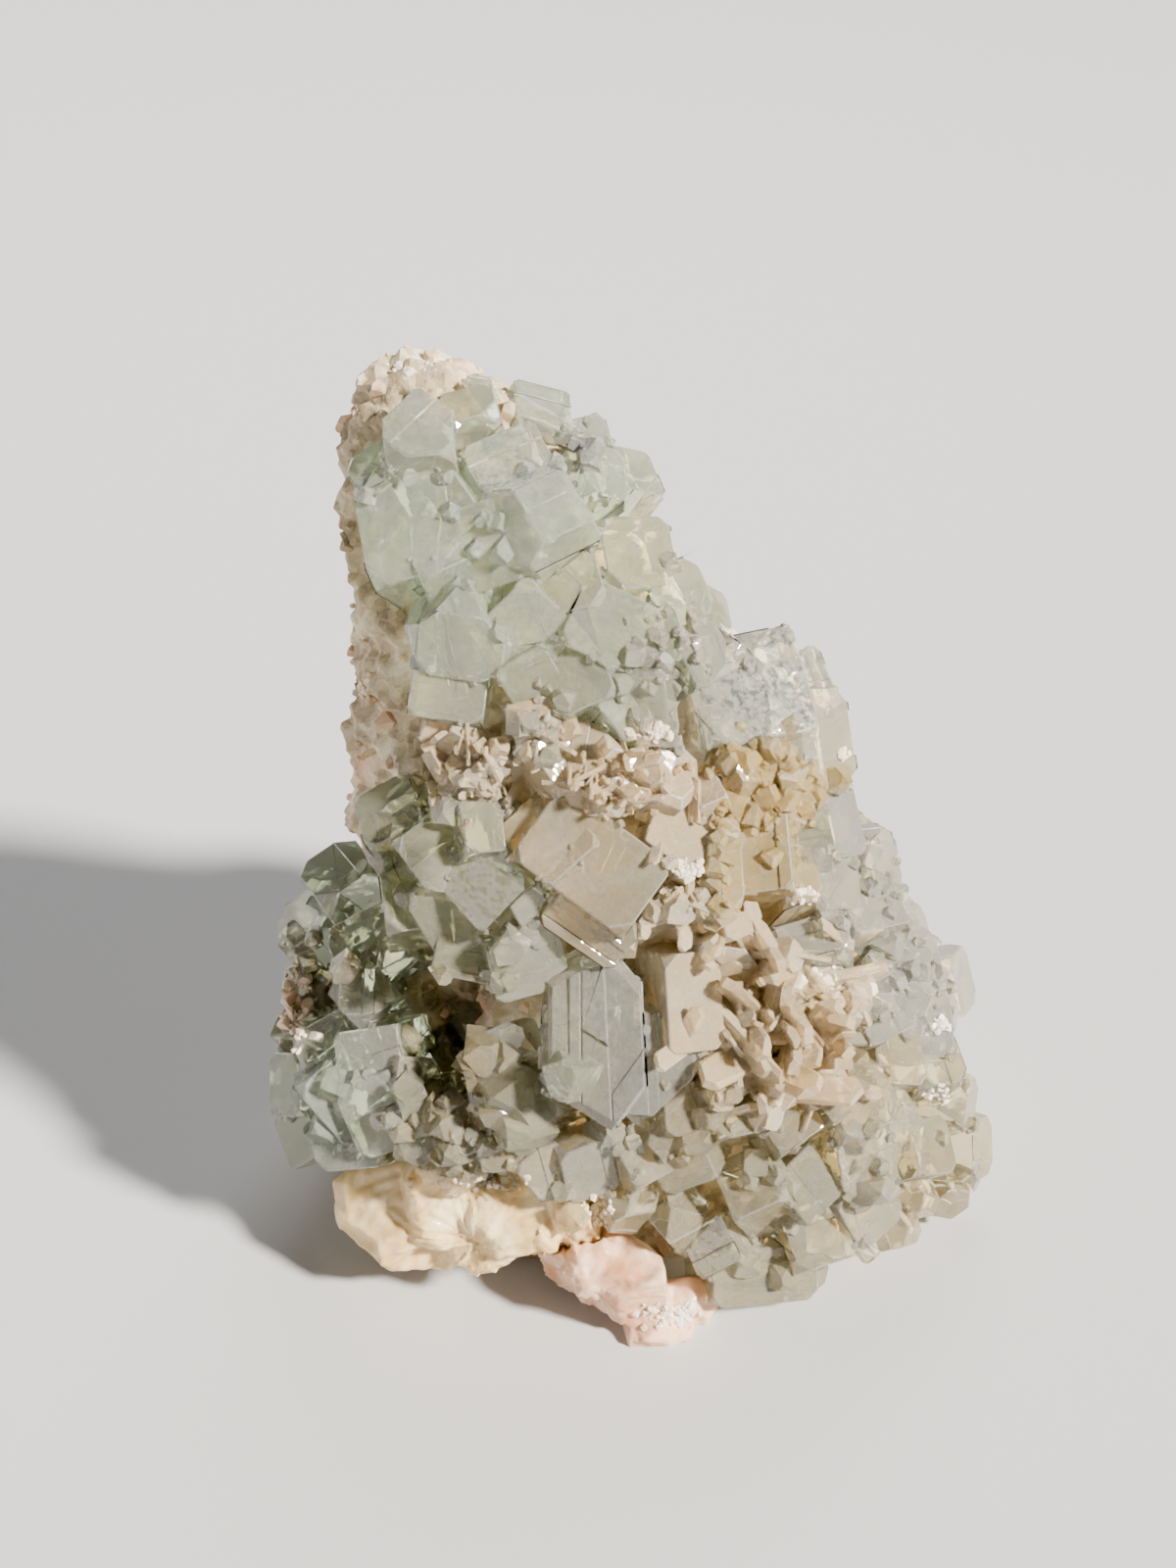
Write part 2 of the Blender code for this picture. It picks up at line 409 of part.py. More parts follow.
STILBITE_SPRAYS = (
    Crystal(x=699, y=1026, size=(6.2, 10.5, 11), axis=(0.1, 0.1, 1), turn=4, corner=0.13),
    Crystal(x=668, y=938, size=(6.4, 4.0, 8), axis=(-0.2, 0.1, 1), turn=20, corner=0.11),
    Crystal(x=708, y=925, size=(7.0, 4.6, 8), axis=(0.0, 0.3, 1), turn=-14, corner=0.11),
    Crystal(x=742, y=938, size=(5.2, 4.4, 8), axis=(0.2, 0.2, 1), turn=22, corner=0.11),
    Crystal(x=742, y=985, size=(6.0, 3.0, 13), axis=(-0.35, 0.75, 0.5), turn=10, form=blade),
    Crystal(x=770, y=975, size=(6.0, 3.0, 13), axis=(0.1, 0.85, 0.5), turn=-12, form=blade),
    Crystal(x=795, y=1005, size=(6.4, 3.2, 14), axis=(0.45, 0.7, 0.5), turn=16, form=blade),
    Crystal(x=760, y=1042, size=(8.0, 8.5, 8), axis=(-0.1, 0.1, 1), turn=12, corner=0.14, form=tablet),
    Crystal(x=800, y=1060, size=(7.0, 3.4, 13), axis=(0.6, 0.4, 0.6), turn=0, form=blade),
    Crystal(x=838, y=1052, size=(6.6, 3.2, 12), axis=(0.8, 0.1, 0.6), turn=24, form=blade),
    Crystal(x=838, y=1004, size=(9.0, 5.5, 8), axis=(0.2, 0.4, 1), turn=-22, corner=0.24, form=lump),
    Crystal(x=872, y=1032, size=(5.6, 5.0, 8), axis=(0.4, 0.3, 1), turn=0, corner=0.24, form=lump),
    Crystal(x=748, y=1092, size=(6.6, 6.4, 9), axis=(0.0, -0.1, 1), turn=30, corner=0.11),
    Crystal(x=788, y=1100, size=(7.0, 6.4, 9), axis=(0.1, -0.1, 1), turn=10, corner=0.11),
    Crystal(x=832, y=1096, size=(7.0, 6.4, 9), axis=(0.3, 0.0, 1), turn=26, corner=0.11),
)
RIGHT_CRYSTALS = (
    Crystal(x=848, y=846, size=(6.4, 7.6, 10), axis=(0.7, 0.3, 0.8), turn=18, corner=0.11),
    Crystal(x=884, y=882, size=(6.6, 7.6, 10), axis=(0.8, 0.4, 0.6), turn=30, corner=0.11),
    Crystal(x=846, y=902, size=(6.4, 6.4, 10), axis=(0.4, 0.2, 1), turn=6, corner=0.11),
    Crystal(x=886, y=930, size=(8.4, 8.4, 11), axis=(0.6, 0.3, 0.8), turn=24, corner=0.11),
    Crystal(x=920, y=948, size=(6.4, 7.0, 10), axis=(0.8, 0.5, 0.5), turn=8, corner=0.11),
    Crystal(x=842, y=966, size=(8.0, 6.4, 10), axis=(0.2, 0.2, 1), turn=12, corner=0.11),
    Crystal(x=926, y=992, size=(8.4, 8.4, 11), axis=(0.5, 0.4, 0.8), turn=14, corner=0.11),
    Crystal(x=962, y=998, size=(7.4, 7.6, 10), axis=(0.9, 0.4, 0.4), turn=30, corner=0.11),
    Crystal(x=936, y=1038, size=(8.4, 7.4, 10), axis=(0.6, 0.1, 0.8), turn=6, corner=0.11),
    Crystal(x=902, y=1030, size=(6.4, 6.6, 10), axis=(0.4, 0.1, 1), turn=26, corner=0.11),
    Crystal(x=962, y=1042, size=(5.4, 5.4, 8), axis=(0.9, 0.0, 0.6), turn=10, corner=0.22, form=lump),
)
RIGHT_BASE_CRYSTALS = (
    Crystal(x=914, y=1150, size=(5.6, 5.6, 14), axis=(0.25, 0.85, 0.5), turn=40, corner=0.3),
    Crystal(x=950, y=1096, size=(6.4, 6.4, 9), axis=(0.7, 0.3, 0.7), turn=18, corner=0.11),
    Crystal(x=974, y=1124, size=(6.0, 6.4, 9), axis=(0.9, 0.2, 0.5), turn=30, corner=0.2),
    Crystal(x=982, y=1172, size=(6.6, 7.0, 10), axis=(0.9, 0.1, 0.5), turn=4, corner=0.11),
    Crystal(x=972, y=1218, size=(6.6, 6.0, 9), axis=(0.8, -0.1, 0.6), turn=24, corner=0.24, form=lump),
    Crystal(x=940, y=1228, size=(6.0, 5.0, 8), axis=(0.5, 0.0, 1), turn=0, corner=0.24, form=lump),
    Crystal(x=936, y=1184, size=(6.6, 7.0, 10), axis=(0.5, 0.1, 0.8), turn=14, corner=0.11),
    Crystal(x=914, y=1262, size=(6.6, 5.0, 9), axis=(0.4, 0.0, 1), turn=10, corner=0.2, form=lump),
    Crystal(x=876, y=1236, size=(7.0, 7.0, 10), axis=(0.3, 0.0, 1), turn=32, corner=0.11),
    Crystal(x=876, y=1180, size=(7.0, 7.6, 10), axis=(0.3, 0.1, 1), turn=12, corner=0.11),
    Crystal(x=870, y=1128, size=(7.6, 7.0, 10), axis=(0.3, 0.1, 1), turn=26, corner=0.11),
    Crystal(x=912, y=1086, size=(6.6, 6.4, 9), axis=(0.5, 0.2, 0.8), turn=6, corner=0.11),
)
FRONT_BASE_CRYSTALS = (
    Crystal(x=697, y=1136, size=(5.6, 5.6, 9), axis=(0.0, 0.2, 1), turn=8, corner=0.13),
    Crystal(x=652, y=1190, size=(6.6, 6.4, 9), axis=(0.0, 0.1, 1), turn=30, corner=0.11),
    Crystal(x=640, y=1232, size=(7.0, 5.6, 9), axis=(0.0, 0.1, 1), turn=8, corner=0.2, form=lump),
    Crystal(x=704, y=1182, size=(6.6, 6.6, 9), axis=(0.0, 0.1, 1), turn=24, corner=0.11),
    Crystal(x=752, y=1142, size=(7.0, 6.6, 9), axis=(0.0, 0.1, 1), turn=14, corner=0.11),
    Crystal(x=806, y=1146, size=(7.6, 7.0, 9), axis=(0.1, 0.1, 1), turn=34, corner=0.11),
    Crystal(x=778, y=1226, size=(7.0, 6.6, 10), axis=(0.0, 0.2, 1), turn=20, corner=0.11),
    Crystal(x=815, y=1216, size=(6.4, 7.0, 10), axis=(0.15, 0.2, 1), turn=40, corner=0.11),
    Crystal(x=694, y=1254, size=(6.0, 5.6, 9), axis=(0.0, 0.1, 1), turn=20, corner=0.2, form=lump),
    Crystal(x=776, y=1304, size=(12.5, 7.0, 10), axis=(0.05, 0.1, 1), turn=0, corner=0.11),
    Crystal(x=834, y=1272, size=(8.0, 7.0, 10), axis=(0.2, 0.1, 1), turn=18, corner=0.11),
    Crystal(x=740, y=1278, size=(6.0, 5.6, 9), axis=(-0.1, 0.2, 1), turn=28, corner=0.11),
)

# What covers the sides and back, which the front doesn't show: seeded crystals on a loose grid.
Cover = namedtuple("Cover", "azimuth z across rise form corner")
BACK_COVERS = (
    Cover(azimuth=(123, 176), z=(5, 56), across=14.0, rise=13.0, form=tetragonal, corner=0.12),
)
BACK_LEFT_COVERS = (
    Cover(azimuth=(200, 246), z=(4, 18), across=12.0, rise=11.0, form=tetragonal, corner=0.12),
)

Growth = namedtuple("Growth", "name crystals covers colour roughness")
GROWTHS = (
    Growth("stepped_crystal", STEPPED_CRYSTAL, (), (0.66, 0.73, 0.66), 0.10),
    Growth("tabular_crystal", TABULAR_CRYSTAL, (), (0.73, 0.70, 0.58), 0.12),
    Growth("shoulder_crystal", SHOULDER_CRYSTAL, (), (0.74, 0.74, 0.72), 0.10),
    Growth("summit_apophyllite", SUMMIT_CRYSTALS, (), (0.52, 0.66, 0.56), 0.12),
    Growth("amber_stilbite", AMBER_STILBITE, (), (0.78, 0.62, 0.38), 0.25),
    Growth("stilbite_band", STILBITE_BAND, (), (0.75, 0.56, 0.40), 0.30),
    Growth("stilbite_sprays", STILBITE_SPRAYS, (), (0.76, 0.62, 0.48), 0.28),
    Growth("stilbite_fans", STILBITE_FANS, (), (0.80, 0.64, 0.46), 0.35),
    Growth("pink_stilbite", PINK_STILBITE, (), (0.82, 0.55, 0.45), 0.40),
    Growth("left_apophyllite", LEFT_CRYSTALS, (), (0.48, 0.56, 0.46), 0.14),
    Growth("lower_left_apophyllite", LOWER_LEFT_CRYSTALS, (), (0.50, 0.62, 0.50), 0.14),
    Growth("cream_apophyllite", CREAM_CRYSTALS, (), (0.68, 0.60, 0.46), 0.20),
    Growth("right_apophyllite", RIGHT_CRYSTALS, (), (0.66, 0.70, 0.62), 0.12),
    Growth("front_base_apophyllite", FRONT_BASE_CRYSTALS, (), (0.66, 0.66, 0.50), 0.16),
    Growth("right_base_apophyllite", RIGHT_BASE_CRYSTALS, (), (0.70, 0.66, 0.54), 0.18),
    Growth("back_apophyllite", (), BACK_COVERS, (0.58, 0.68, 0.58), 0.14),
    Growth("back_left_apophyllite", (), BACK_LEFT_COVERS, (0.56, 0.64, 0.54), 0.16),
)


def placed(centre, c_axis, turn):
    """Placement of a crystal: its c axis along c_axis, its a axis turned from the view's right."""
    c = c_axis.normalized()
    a = (VIEW_RIGHT - c * VIEW_RIGHT.dot(c)).normalized()
    b = c.cross(a)
    basis = Matrix((a, b, c)).transposed()
    return Matrix.Translation(centre) @ basis.to_4x4() @ Matrix.Rotation(math.radians(turn), 4, "Z")


def shown_crystals(rows):
    """Planes and placement of each crystal that the front shows."""
    for index, row in enumerate(rows):
        rng = random.Random(1000 + index + row.x)
        at = surface_under_pixel(row.x, row.y)
        right, up, toward = row.axis
        if row.sink is None:
            right += rng.uniform(-LEAN_SPREAD, LEAN_SPREAD)
            up += rng.uniform(-LEAN_SPREAD, LEAN_SPREAD)
        c_axis = VIEW_RIGHT * right + VIEW_UP * up - VIEW_AWAY * toward
        share = ROOT_SHARE if row.sink is None else row.sink
        centre = at - outward(at) * share * min(row.size)
        centre -= c_axis.normalized() * 0.2 * (row.size[2] - min(row.size))
        yield row.form(row.size, row.corner, rng), placed(centre, c_axis, row.turn)


def covering_crystals(cover):
    """Planes and placement of seeded crystals over one stretch of the outer surface."""
    rng = random.Random(int(cover.azimuth[0] * 7 + cover.z[0]))
    z = cover.z[0]
    odd = 0
    while z < cover.z[1]:
        _, _, rx, ry = centre_and_radii(z, True)
        step = math.degrees(cover.across / ((rx + ry) / 2))
        azimuth = cover.azimuth[0] + odd * step / 2
        while azimuth < cover.azimuth[1]:
            aside = rng.uniform(-COVER_WANDER, COVER_WANDER) * step
            higher = rng.uniform(-COVER_WANDER, COVER_WANDER) * cover.rise
            at = surface_at(azimuth + aside, z + higher)
            out = outward(at)
            lean = Vector([rng.uniform(-COVER_LEAN, COVER_LEAN) for _ in range(3)])
            size = [cover.across * rng.uniform(*COVER_SIZES) for _ in range(2)]
            size.append(cover.across * COVER_LENGTH)
            centre = at - out * COVER_ROOT_SHARE * cover.across
            yield cover.form(size, cover.corner, rng), placed(centre, out + lean, rng.uniform(0, 90))
            azimuth += step
        odd = 1 - odd
        z += cover.rise


def cover_thickness(azimuth, z):
    """How thick the crystals lie on the rock: thin on the left face, the back and the summit knob."""
    thickness = float(np.interp(azimuth % 360, [m[0] for m in COVER_MARKS], [m[1] for m in COVER_MARKS]))
    if LEFT_FOOT_AZIMUTHS[0] < azimuth % 360 < LEFT_FOOT_AZIMUTHS[1]:
        thickness += float(np.interp(z, LEFT_FOOT_TOP, (LEFT_FOOT_COVER, 0.0)))
    knob = float(np.interp(z, KNOB_HEIGHTS, (0.0, 1.0)))
    return thickness * (1 - knob) + KNOB_COVER * knob


def broken_facets(point):
    """Relief of broken rock: flat cells of different height, with finer lumps on them."""
    distances, centres = noise.voronoi(point * LEDGE_SCALE)
    ledge = min((distances[1] - distances[0]) * LEDGE_STEEPNESS, LEDGE_RISE)
    step = noise.noise(centres[0] * 3.1) * LEDGE_RISE
    return ledge + step + noise.fractal(point * LUMP_SCALE, 0.9, 2.0, 3) * LUMP_RISE - ROCK_SUNK


def rock_mesh():
    """Rock under the crystals, as rings of broken relief, closed above; it runs on below the cut."""
    bm = bmesh.new()
    height = TOP_Z - 1.0 - ROCK_BOTTOM
    levels = [ROCK_BOTTOM + height * k / (ROCK_RINGS - 1) for k in range(ROCK_RINGS)]
    rings = []
    for z in levels:
        ring = []
        for k in range(ROCK_SPOKES):
            azimuth = 360.0 * k / ROCK_SPOKES
            level = min(max(z, 0.0), TOP_Z)
            at = surface_at(azimuth, level)
            cx, cy, _, _ = centre_and_radii(level, at.y > LEAN_BACK * level)
            spoke = Vector((at.x - cx, at.y - cy, 0))
            cover = cover_thickness(azimuth, level)
            bare = 1.0 - min(max((cover - BACK_COVER - 1.0) / 2.0, 0.0), 1.0 - BURIED_RELIEF)
            relief = broken_facets(Vector((at.x, at.y, z))) * bare
            radius = max(spoke.length - cover + relief, spoke.length * ROCK_LEAST_RADIUS)
            direction = spoke.normalized()
            ring.append(bm.verts.new((cx + direction.x * radius, cy + direction.y * radius, z)))
        rings.append(ring)
    for low, high in zip(rings, rings[1:]):
        for k in range(ROCK_SPOKES):
            after = (k + 1) % ROCK_SPOKES
            bm.faces.new((low[k], low[after], high[after]))
            bm.faces.new((low[k], high[after], high[k]))
    top = bm.verts.new((KNOB_MIDDLE_X, LEAN_BACK * TOP_Z, TOP_Z))
    for k in range(ROCK_SPOKES):
        bm.faces.new((rings[-1][k], rings[-1][(k + 1) % ROCK_SPOKES], top))
    bm.faces.new(list(reversed(rings[0])))
    bmesh.ops.recalc_face_normals(bm, faces=bm.faces)
    return bm


def swollen(made, grow, name, collection):
    """Copy of a solid with every vertex moved out along its normal, in millimetres."""
    bm = bmesh.new()
    bm.from_mesh(made.data)
    bm.normal_update()
    for vert in bm.verts:
        vert.co += vert.normal * grow * MM
    mesh = bpy.data.meshes.new(name)
    bm.to_mesh(mesh)
    bm.free()
    copy = bpy.data.objects.new(name, mesh)
    collection.objects.link(copy)
    return copy


def object_of(bm, name, collection):
    """Object in metres from a bmesh in millimetres."""
    bmesh.ops.scale(bm, vec=(MM, MM, MM), verts=bm.verts)
    mesh = bpy.data.meshes.new(name)
    bm.to_mesh(mesh)
    bm.free()
    made = bpy.data.objects.new(name, mesh)
    collection.objects.link(made)
    return made


def helper_collection(name):
    made = bpy.data.collections.new(name)
    bpy.context.scene.collection.children.link(made)
    return made


def hide_helper(helper):
    helper.hide_render = True
    helper.display_type = "WIRE"


def add_boolean(target, operation, other):
    """Exact Boolean with one object or with every object of a collection."""
    change = target.modifiers.new(operation.lower(), "BOOLEAN")
    change.operation = operation
    change.solver = "EXACT"
    if isinstance(other, bpy.types.Collection):
        change.operand_type = "COLLECTION"
        change.collection = other
    else:
        change.object = other


def apply_modifiers(target):
    graph = bpy.context.evaluated_depsgraph_get()
    mesh = bpy.data.meshes.new_from_object(target.evaluated_get(graph))
    target.modifiers.clear()
    target.data = mesh


def united(crystals, grow, name, scene):
    """One solid of overlapping crystals, all their planes pushed out by grow."""
    others = helper_collection(name + "_members")
    first = None
    for index, (planes, placement) in enumerate(crystals):
        solid = convex_mesh(planes, placement, grow)
        if first is None:
            first = object_of(solid, name, scene)
        else:
            object_of(solid, f"{name}_{index}", others)
    if len(crystals) > 1:
        add_boolean(first, "UNION", others)
        apply_modifiers(first)
    for member in list(others.objects):
        bpy.data.objects.remove(member)
    bpy.data.collections.remove(others)
    return first


def reach_of(made):
    """Lowest and highest corner of an object's own mesh."""
    points = np.array([v.co for v in made.data.vertices])
    return points.min(axis=0), points.max(axis=0)


def boxes_meet(one, other):
    (low_a, high_a), (low_b, high_b) = reach_of(one), reach_of(other)
    return bool((low_a < high_b).all() and (low_b < high_a).all())


def main_body(mesh):
    """Keeps the largest closed body of a mesh, and leaves out chips that the seats cut loose."""
    bm = bmesh.new()
    bm.from_mesh(mesh)
    bmesh.ops.remove_doubles(bm, verts=bm.verts, dist=NEAR_CORNER)
    bmesh.ops.dissolve_degenerate(bm, edges=bm.edges, dist=NEAR_CORNER)
    unseen = set(bm.faces)
    bodies = []
    while unseen:
        body = {unseen.pop()}
        edge_of_body = list(body)
        while edge_of_body:
            face = edge_of_body.pop()
            for edge in face.edges:
                for other in edge.link_faces:
                    if other in unseen:
                        unseen.remove(other)
                        body.add(other)
                        edge_of_body.append(other)
        bodies.append(body)
    bodies.sort(key=lambda faces: -sum(face.calc_area() for face in faces))
    loose = [face for body in bodies[1:] for face in body]
    bmesh.ops.delete(bm, geom=loose, context="FACES")
    bm.to_mesh(mesh)
    bm.free()
    return len(bodies) - 1


def finish(made, colour, roughness):
    """Applies what is left of an object's modifiers, keeps its main body and gives it its material."""
    apply_modifiers(made)
    chips = main_body(made.data)
    surface = bpy.data.materials.new(made.name)
    surface.use_nodes = True
    shader = surface.node_tree.nodes["Principled BSDF"]
    shader.inputs["Base Color"].default_value = (*colour, 1.0)
    shader.inputs["Roughness"].default_value = roughness
    made.data.materials.clear()
    made.data.materials.append(surface)
    triangles = sum(len(face.vertices) - 2 for face in made.data.polygons)
    print(made.name, triangles, "triangles,", chips, "chips left out")


def centre_on_footprint(nodes):
    """Shifts every node so that the middle of the whole box is at x = 0, y = 0."""
    reaches = [reach_of(node) for node in nodes]
    low = np.min([reach[0] for reach in reaches], axis=0)
    high = np.max([reach[1] for reach in reaches], axis=0)
    shift = Vector((-(low[0] + high[0]) / 2, -(low[1] + high[1]) / 2, 0.0))
    for node in nodes:
        node.data.transform(Matrix.Translation(shift))
    print("shift to the middle of the box, in mm:", [round(part / MM, 3) for part in shift])


def build():
    for old in list(bpy.data.objects):
        bpy.data.objects.remove(old)
    scene = bpy.context.scene.collection

    helpers = helper_collection("helpers")
    below = bmesh.new()
    bmesh.ops.create_cube(below, size=200.0)
    bmesh.ops.translate(below, vec=(0, 0, -100.0), verts=below.verts)
    floor = object_of(below, "floor_block", helpers)
    rock = object_of(rock_mesh(), "matrix", scene)
    fewer = rock.modifiers.new("fewer_faces", "DECIMATE")
    fewer.ratio = ROCK_FACE_SHARE
    apply_modifiers(rock)
    rock_seat = swollen(rock, SEAT_GAP * ROCK_SEAT_SHARE, "rock_seat", helpers)
    hide_helper(floor)
    hide_helper(rock_seat)

    seats = []
    nodes = []
    for growth in GROWTHS:
        crystals = list(shown_crystals(growth.crystals))
        for cover in growth.covers:
            crystals += list(covering_crystals(cover))
        grown = united(crystals, 0.0, growth.name, scene)
        for cutter in [rock_seat] + [seat for seat in seats if boxes_meet(seat, grown)] + [floor]:
            add_boolean(grown, "DIFFERENCE", cutter)
            apply_modifiers(grown)
        finish(grown, growth.colour, growth.roughness)
        nodes.append(grown)
        seat = united(crystals, SEAT_GAP, growth.name + "_seat", helpers)
        hide_helper(seat)
        seats.append(seat)

    add_boolean(rock, "DIFFERENCE", floor)
    finish(rock, (0.62, 0.56, 0.47), 0.85)
    nodes.append(rock)
    centre_on_footprint(nodes)


build()
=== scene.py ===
# %% [markdown]
# # An apophyllite and stilbite cluster
# A hand-size mineral specimen, free-standing on the flat cut of its rock. Pale green apophyllite blocks
# cover the tower, a peach band of stilbite crosses its middle, and tan blades, cream lumps and one pink
# blade make the foot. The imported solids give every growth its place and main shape. This script gives
# each one its facets, small crystals, veils and finish, and it moves nothing.

# %% Load the frame
import json
import math
import random

import bmesh
import bpy
from mathutils import Matrix, Vector, noise
from mathutils.bvhtree import BVHTree

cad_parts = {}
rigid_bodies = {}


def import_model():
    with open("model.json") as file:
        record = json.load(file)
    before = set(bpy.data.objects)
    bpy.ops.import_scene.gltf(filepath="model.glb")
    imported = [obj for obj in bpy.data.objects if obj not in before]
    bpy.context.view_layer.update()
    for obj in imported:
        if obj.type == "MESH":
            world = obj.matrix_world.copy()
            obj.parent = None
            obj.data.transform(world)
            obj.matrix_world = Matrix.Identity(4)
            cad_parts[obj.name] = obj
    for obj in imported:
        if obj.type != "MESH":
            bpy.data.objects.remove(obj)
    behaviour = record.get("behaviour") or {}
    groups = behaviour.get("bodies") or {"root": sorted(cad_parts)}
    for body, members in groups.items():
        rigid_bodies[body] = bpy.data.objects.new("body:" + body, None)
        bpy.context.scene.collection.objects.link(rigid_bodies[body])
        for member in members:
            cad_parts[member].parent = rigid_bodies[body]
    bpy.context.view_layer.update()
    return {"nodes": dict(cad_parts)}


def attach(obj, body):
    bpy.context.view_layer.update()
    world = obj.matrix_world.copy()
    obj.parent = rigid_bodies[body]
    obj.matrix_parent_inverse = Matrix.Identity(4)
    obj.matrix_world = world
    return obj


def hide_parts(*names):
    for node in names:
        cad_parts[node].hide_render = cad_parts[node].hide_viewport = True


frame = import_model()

MM = 0.001

# %% [markdown]
# ## The viewpoint
# The photograph looks down on the specimen at about 32 degrees through a slightly long lens. A camera
# could be placed by eye, but its place is worked out here from a target, a distance and a tilt, so that
# the same numbers can also send a line of sight through any pixel of the 1200 by 1600 frame. That line
# is how a small feature, such as a white sugary spot, finds its place on the crystals.

# %% Camera
FRAME_WIDE, FRAME_TALL = 1200, 1600
LENS = 50.0
LONG_SIDE = 36.0
NEAREST_SEEN, FARTHEST_SEEN = 0.01, 20.0
VIEW_DOWN = math.radians(32.0)
VIEW_DISTANCE = 243 * MM
VIEW_TARGET = Vector((-5.54, 0.565, 51.6)) * MM
VIEW_RIGHT = Vector((1.0, 0.0, 0.0))
VIEW_UP = Vector((0.0, math.sin(VIEW_DOWN), math.cos(VIEW_DOWN)))
VIEW_AWAY = Vector((0.0, math.cos(VIEW_DOWN), -math.sin(VIEW_DOWN)))
EYE = VIEW_TARGET - VIEW_AWAY * VIEW_DISTANCE


def add_object(name, data):
    """New object of the scene, at the origin."""
    made = bpy.data.objects.new(name, data)
    bpy.context.scene.collection.objects.link(made)
    return made


camera = add_object("camera", bpy.data.cameras.new("camera"))
camera.data.lens = LENS
camera.data.sensor_width = LONG_SIDE
camera.data.clip_start = NEAREST_SEEN
camera.data.clip_end = FARTHEST_SEEN
view_turn = Matrix((VIEW_RIGHT, VIEW_UP, -VIEW_AWAY)).transposed().to_4x4()
camera.matrix_world = Matrix.Translation(EYE) @ view_turn
bpy.context.scene.camera = camera
print("camera at", [round(part / MM, 1) for part in EYE], "mm")

# %% [markdown]
# ## Floor and backdrop
# The specimen stands on a plain pale floor. A flat floor alone would end in a hard line against the room,
# so a ring around it curves up like a paper backdrop, in the same finish. The side of the ring next to
# the key light lies in its own shade, and looks grey in views from behind.

# %% Floor and backdrop
FLOOR_EDGE = 3.0
BACKDROP_PROFILE = ((1.60, 0.001), (1.80, 0.02), (1.98, 0.09), (2.10, 0.22), (2.17, 0.45), (2.20, 0.90))
BACKDROP_SIDES = 72

floor_finish = bpy.data.materials.new("pale_floor")
floor_finish.use_nodes = True
floor_shader = floor_finish.node_tree.nodes["Principled BSDF"]
floor_shader.inputs["Base Color"].default_value = (0.50, 0.50, 0.51, 1)
floor_shader.inputs["Roughness"].default_value = 0.7


def add_stage(name, corners, panels):
    """Mesh of the stage in the floor's finish, its corners in metres."""
    mesh = bpy.data.meshes.new(name)
    mesh.from_pydata(corners, [], panels)
    mesh.materials.append(floor_finish)
    add_object(name, mesh)
    return mesh


def ring_corner(ring, k):
    """Number of the corner k of a ring, counted around and closed on itself."""
    return ring * BACKDROP_SIDES + k % BACKDROP_SIDES


add_stage("floor", [(FLOOR_EDGE * x, FLOOR_EDGE * y, 0) for x, y in ((-1, -1), (1, -1), (1, 1), (-1, 1))],
          [(0, 1, 2, 3)])
turns = [math.tau * k / BACKDROP_SIDES for k in range(BACKDROP_SIDES)]
backdrop_corners = [(reach * math.cos(turn), reach * math.sin(turn), rise)
                    for reach, rise in BACKDROP_PROFILE for turn in turns]
backdrop_panels = [(ring_corner(ring, k), ring_corner(ring + 1, k), ring_corner(ring + 1, k + 1),
                    ring_corner(ring, k + 1))
                   for ring in range(len(BACKDROP_PROFILE) - 1) for k in range(BACKDROP_SIDES)]
add_stage("backdrop", backdrop_corners, backdrop_panels).shade_smooth()
print("backdrop:", len(backdrop_panels), "panels")

# %% [markdown]
# ## Light
# The light in the photograph is low and warm and comes from the right, a little in front, so the
# right-hand facets flash and the left side falls into shade. A near lamp would fade across the specimen,
# so the key is a sun, with a wide disc for soft shadow edges. Two weak cool panels lift the top and the
# left. Light crosses many crystal faces before it comes out, and a path that is cut short turns dark, so
# the numbers of bounces are set here too, with the contrast and the exposure.

# %% Lamps and room light
KEY_WAY = Vector((-0.50, 0.30, -0.41))
KEY_STRENGTH = 24.0
KEY_DISC = math.radians(7.0)
KEY_TINT = (1.0, 0.94, 0.84)
PANEL_TINT = (0.97, 0.98, 1.0)
PANEL_AIM = Vector((0, 0, 45)) * MM
ROOM_TINT = (0.90, 0.91, 0.92, 1)
ROOM_STRENGTH = 0.065


def hang_lamp(name, kind, power, tint, way):
    """Lamp that shines along way. Gives its object."""
    lamp = bpy.data.lights.new(name, kind)
    lamp.energy = power
    lamp.color = tint
    holder = add_object(name, lamp)
    holder.rotation_euler = way.to_track_quat("-Z", "Y").to_euler()
    return holder


def hang_panel(name, place, size, power):
    """Square soft panel at place, in metres, facing the middle of the specimen."""
    holder = hang_lamp(name, "AREA", power, PANEL_TINT, (PANEL_AIM - Vector(place)).normalized())
    holder.location = place
    holder.data.shape = "SQUARE"
    holder.data.size = size


hang_lamp("key_light", "SUN", KEY_STRENGTH, KEY_TINT, KEY_WAY).data.angle = KEY_DISC
hang_panel("top_panel", (0.05, 0.35, 0.62), 0.30, 3.4)
hang_panel("left_panel", (-0.60, -0.45, 0.35), 0.25, 0.9)

room = bpy.data.worlds.new("room")
bpy.context.scene.world = room
room.use_nodes = True
room.node_tree.nodes["Background"].inputs["Color"].default_value = ROOM_TINT
room.node_tree.nodes["Background"].inputs["Strength"].default_value = ROOM_STRENGTH
bpy.context.scene.view_settings.look = "AgX - Punchy"
bpy.context.scene.view_settings.exposure = 0.2
bpy.context.scene.cycles.max_bounces = 6
bpy.context.scene.cycles.transmission_bounces = 5
bpy.context.scene.cycles.adaptive_threshold = 0.05

# %% [markdown]
# ## A small kit for node trees
# Every finish below is a tree of a few nodes. These helpers add a node, set its plain values and link it
# in one call each, so that a finish reads as a short list of what it is made of.

# %% Node helpers


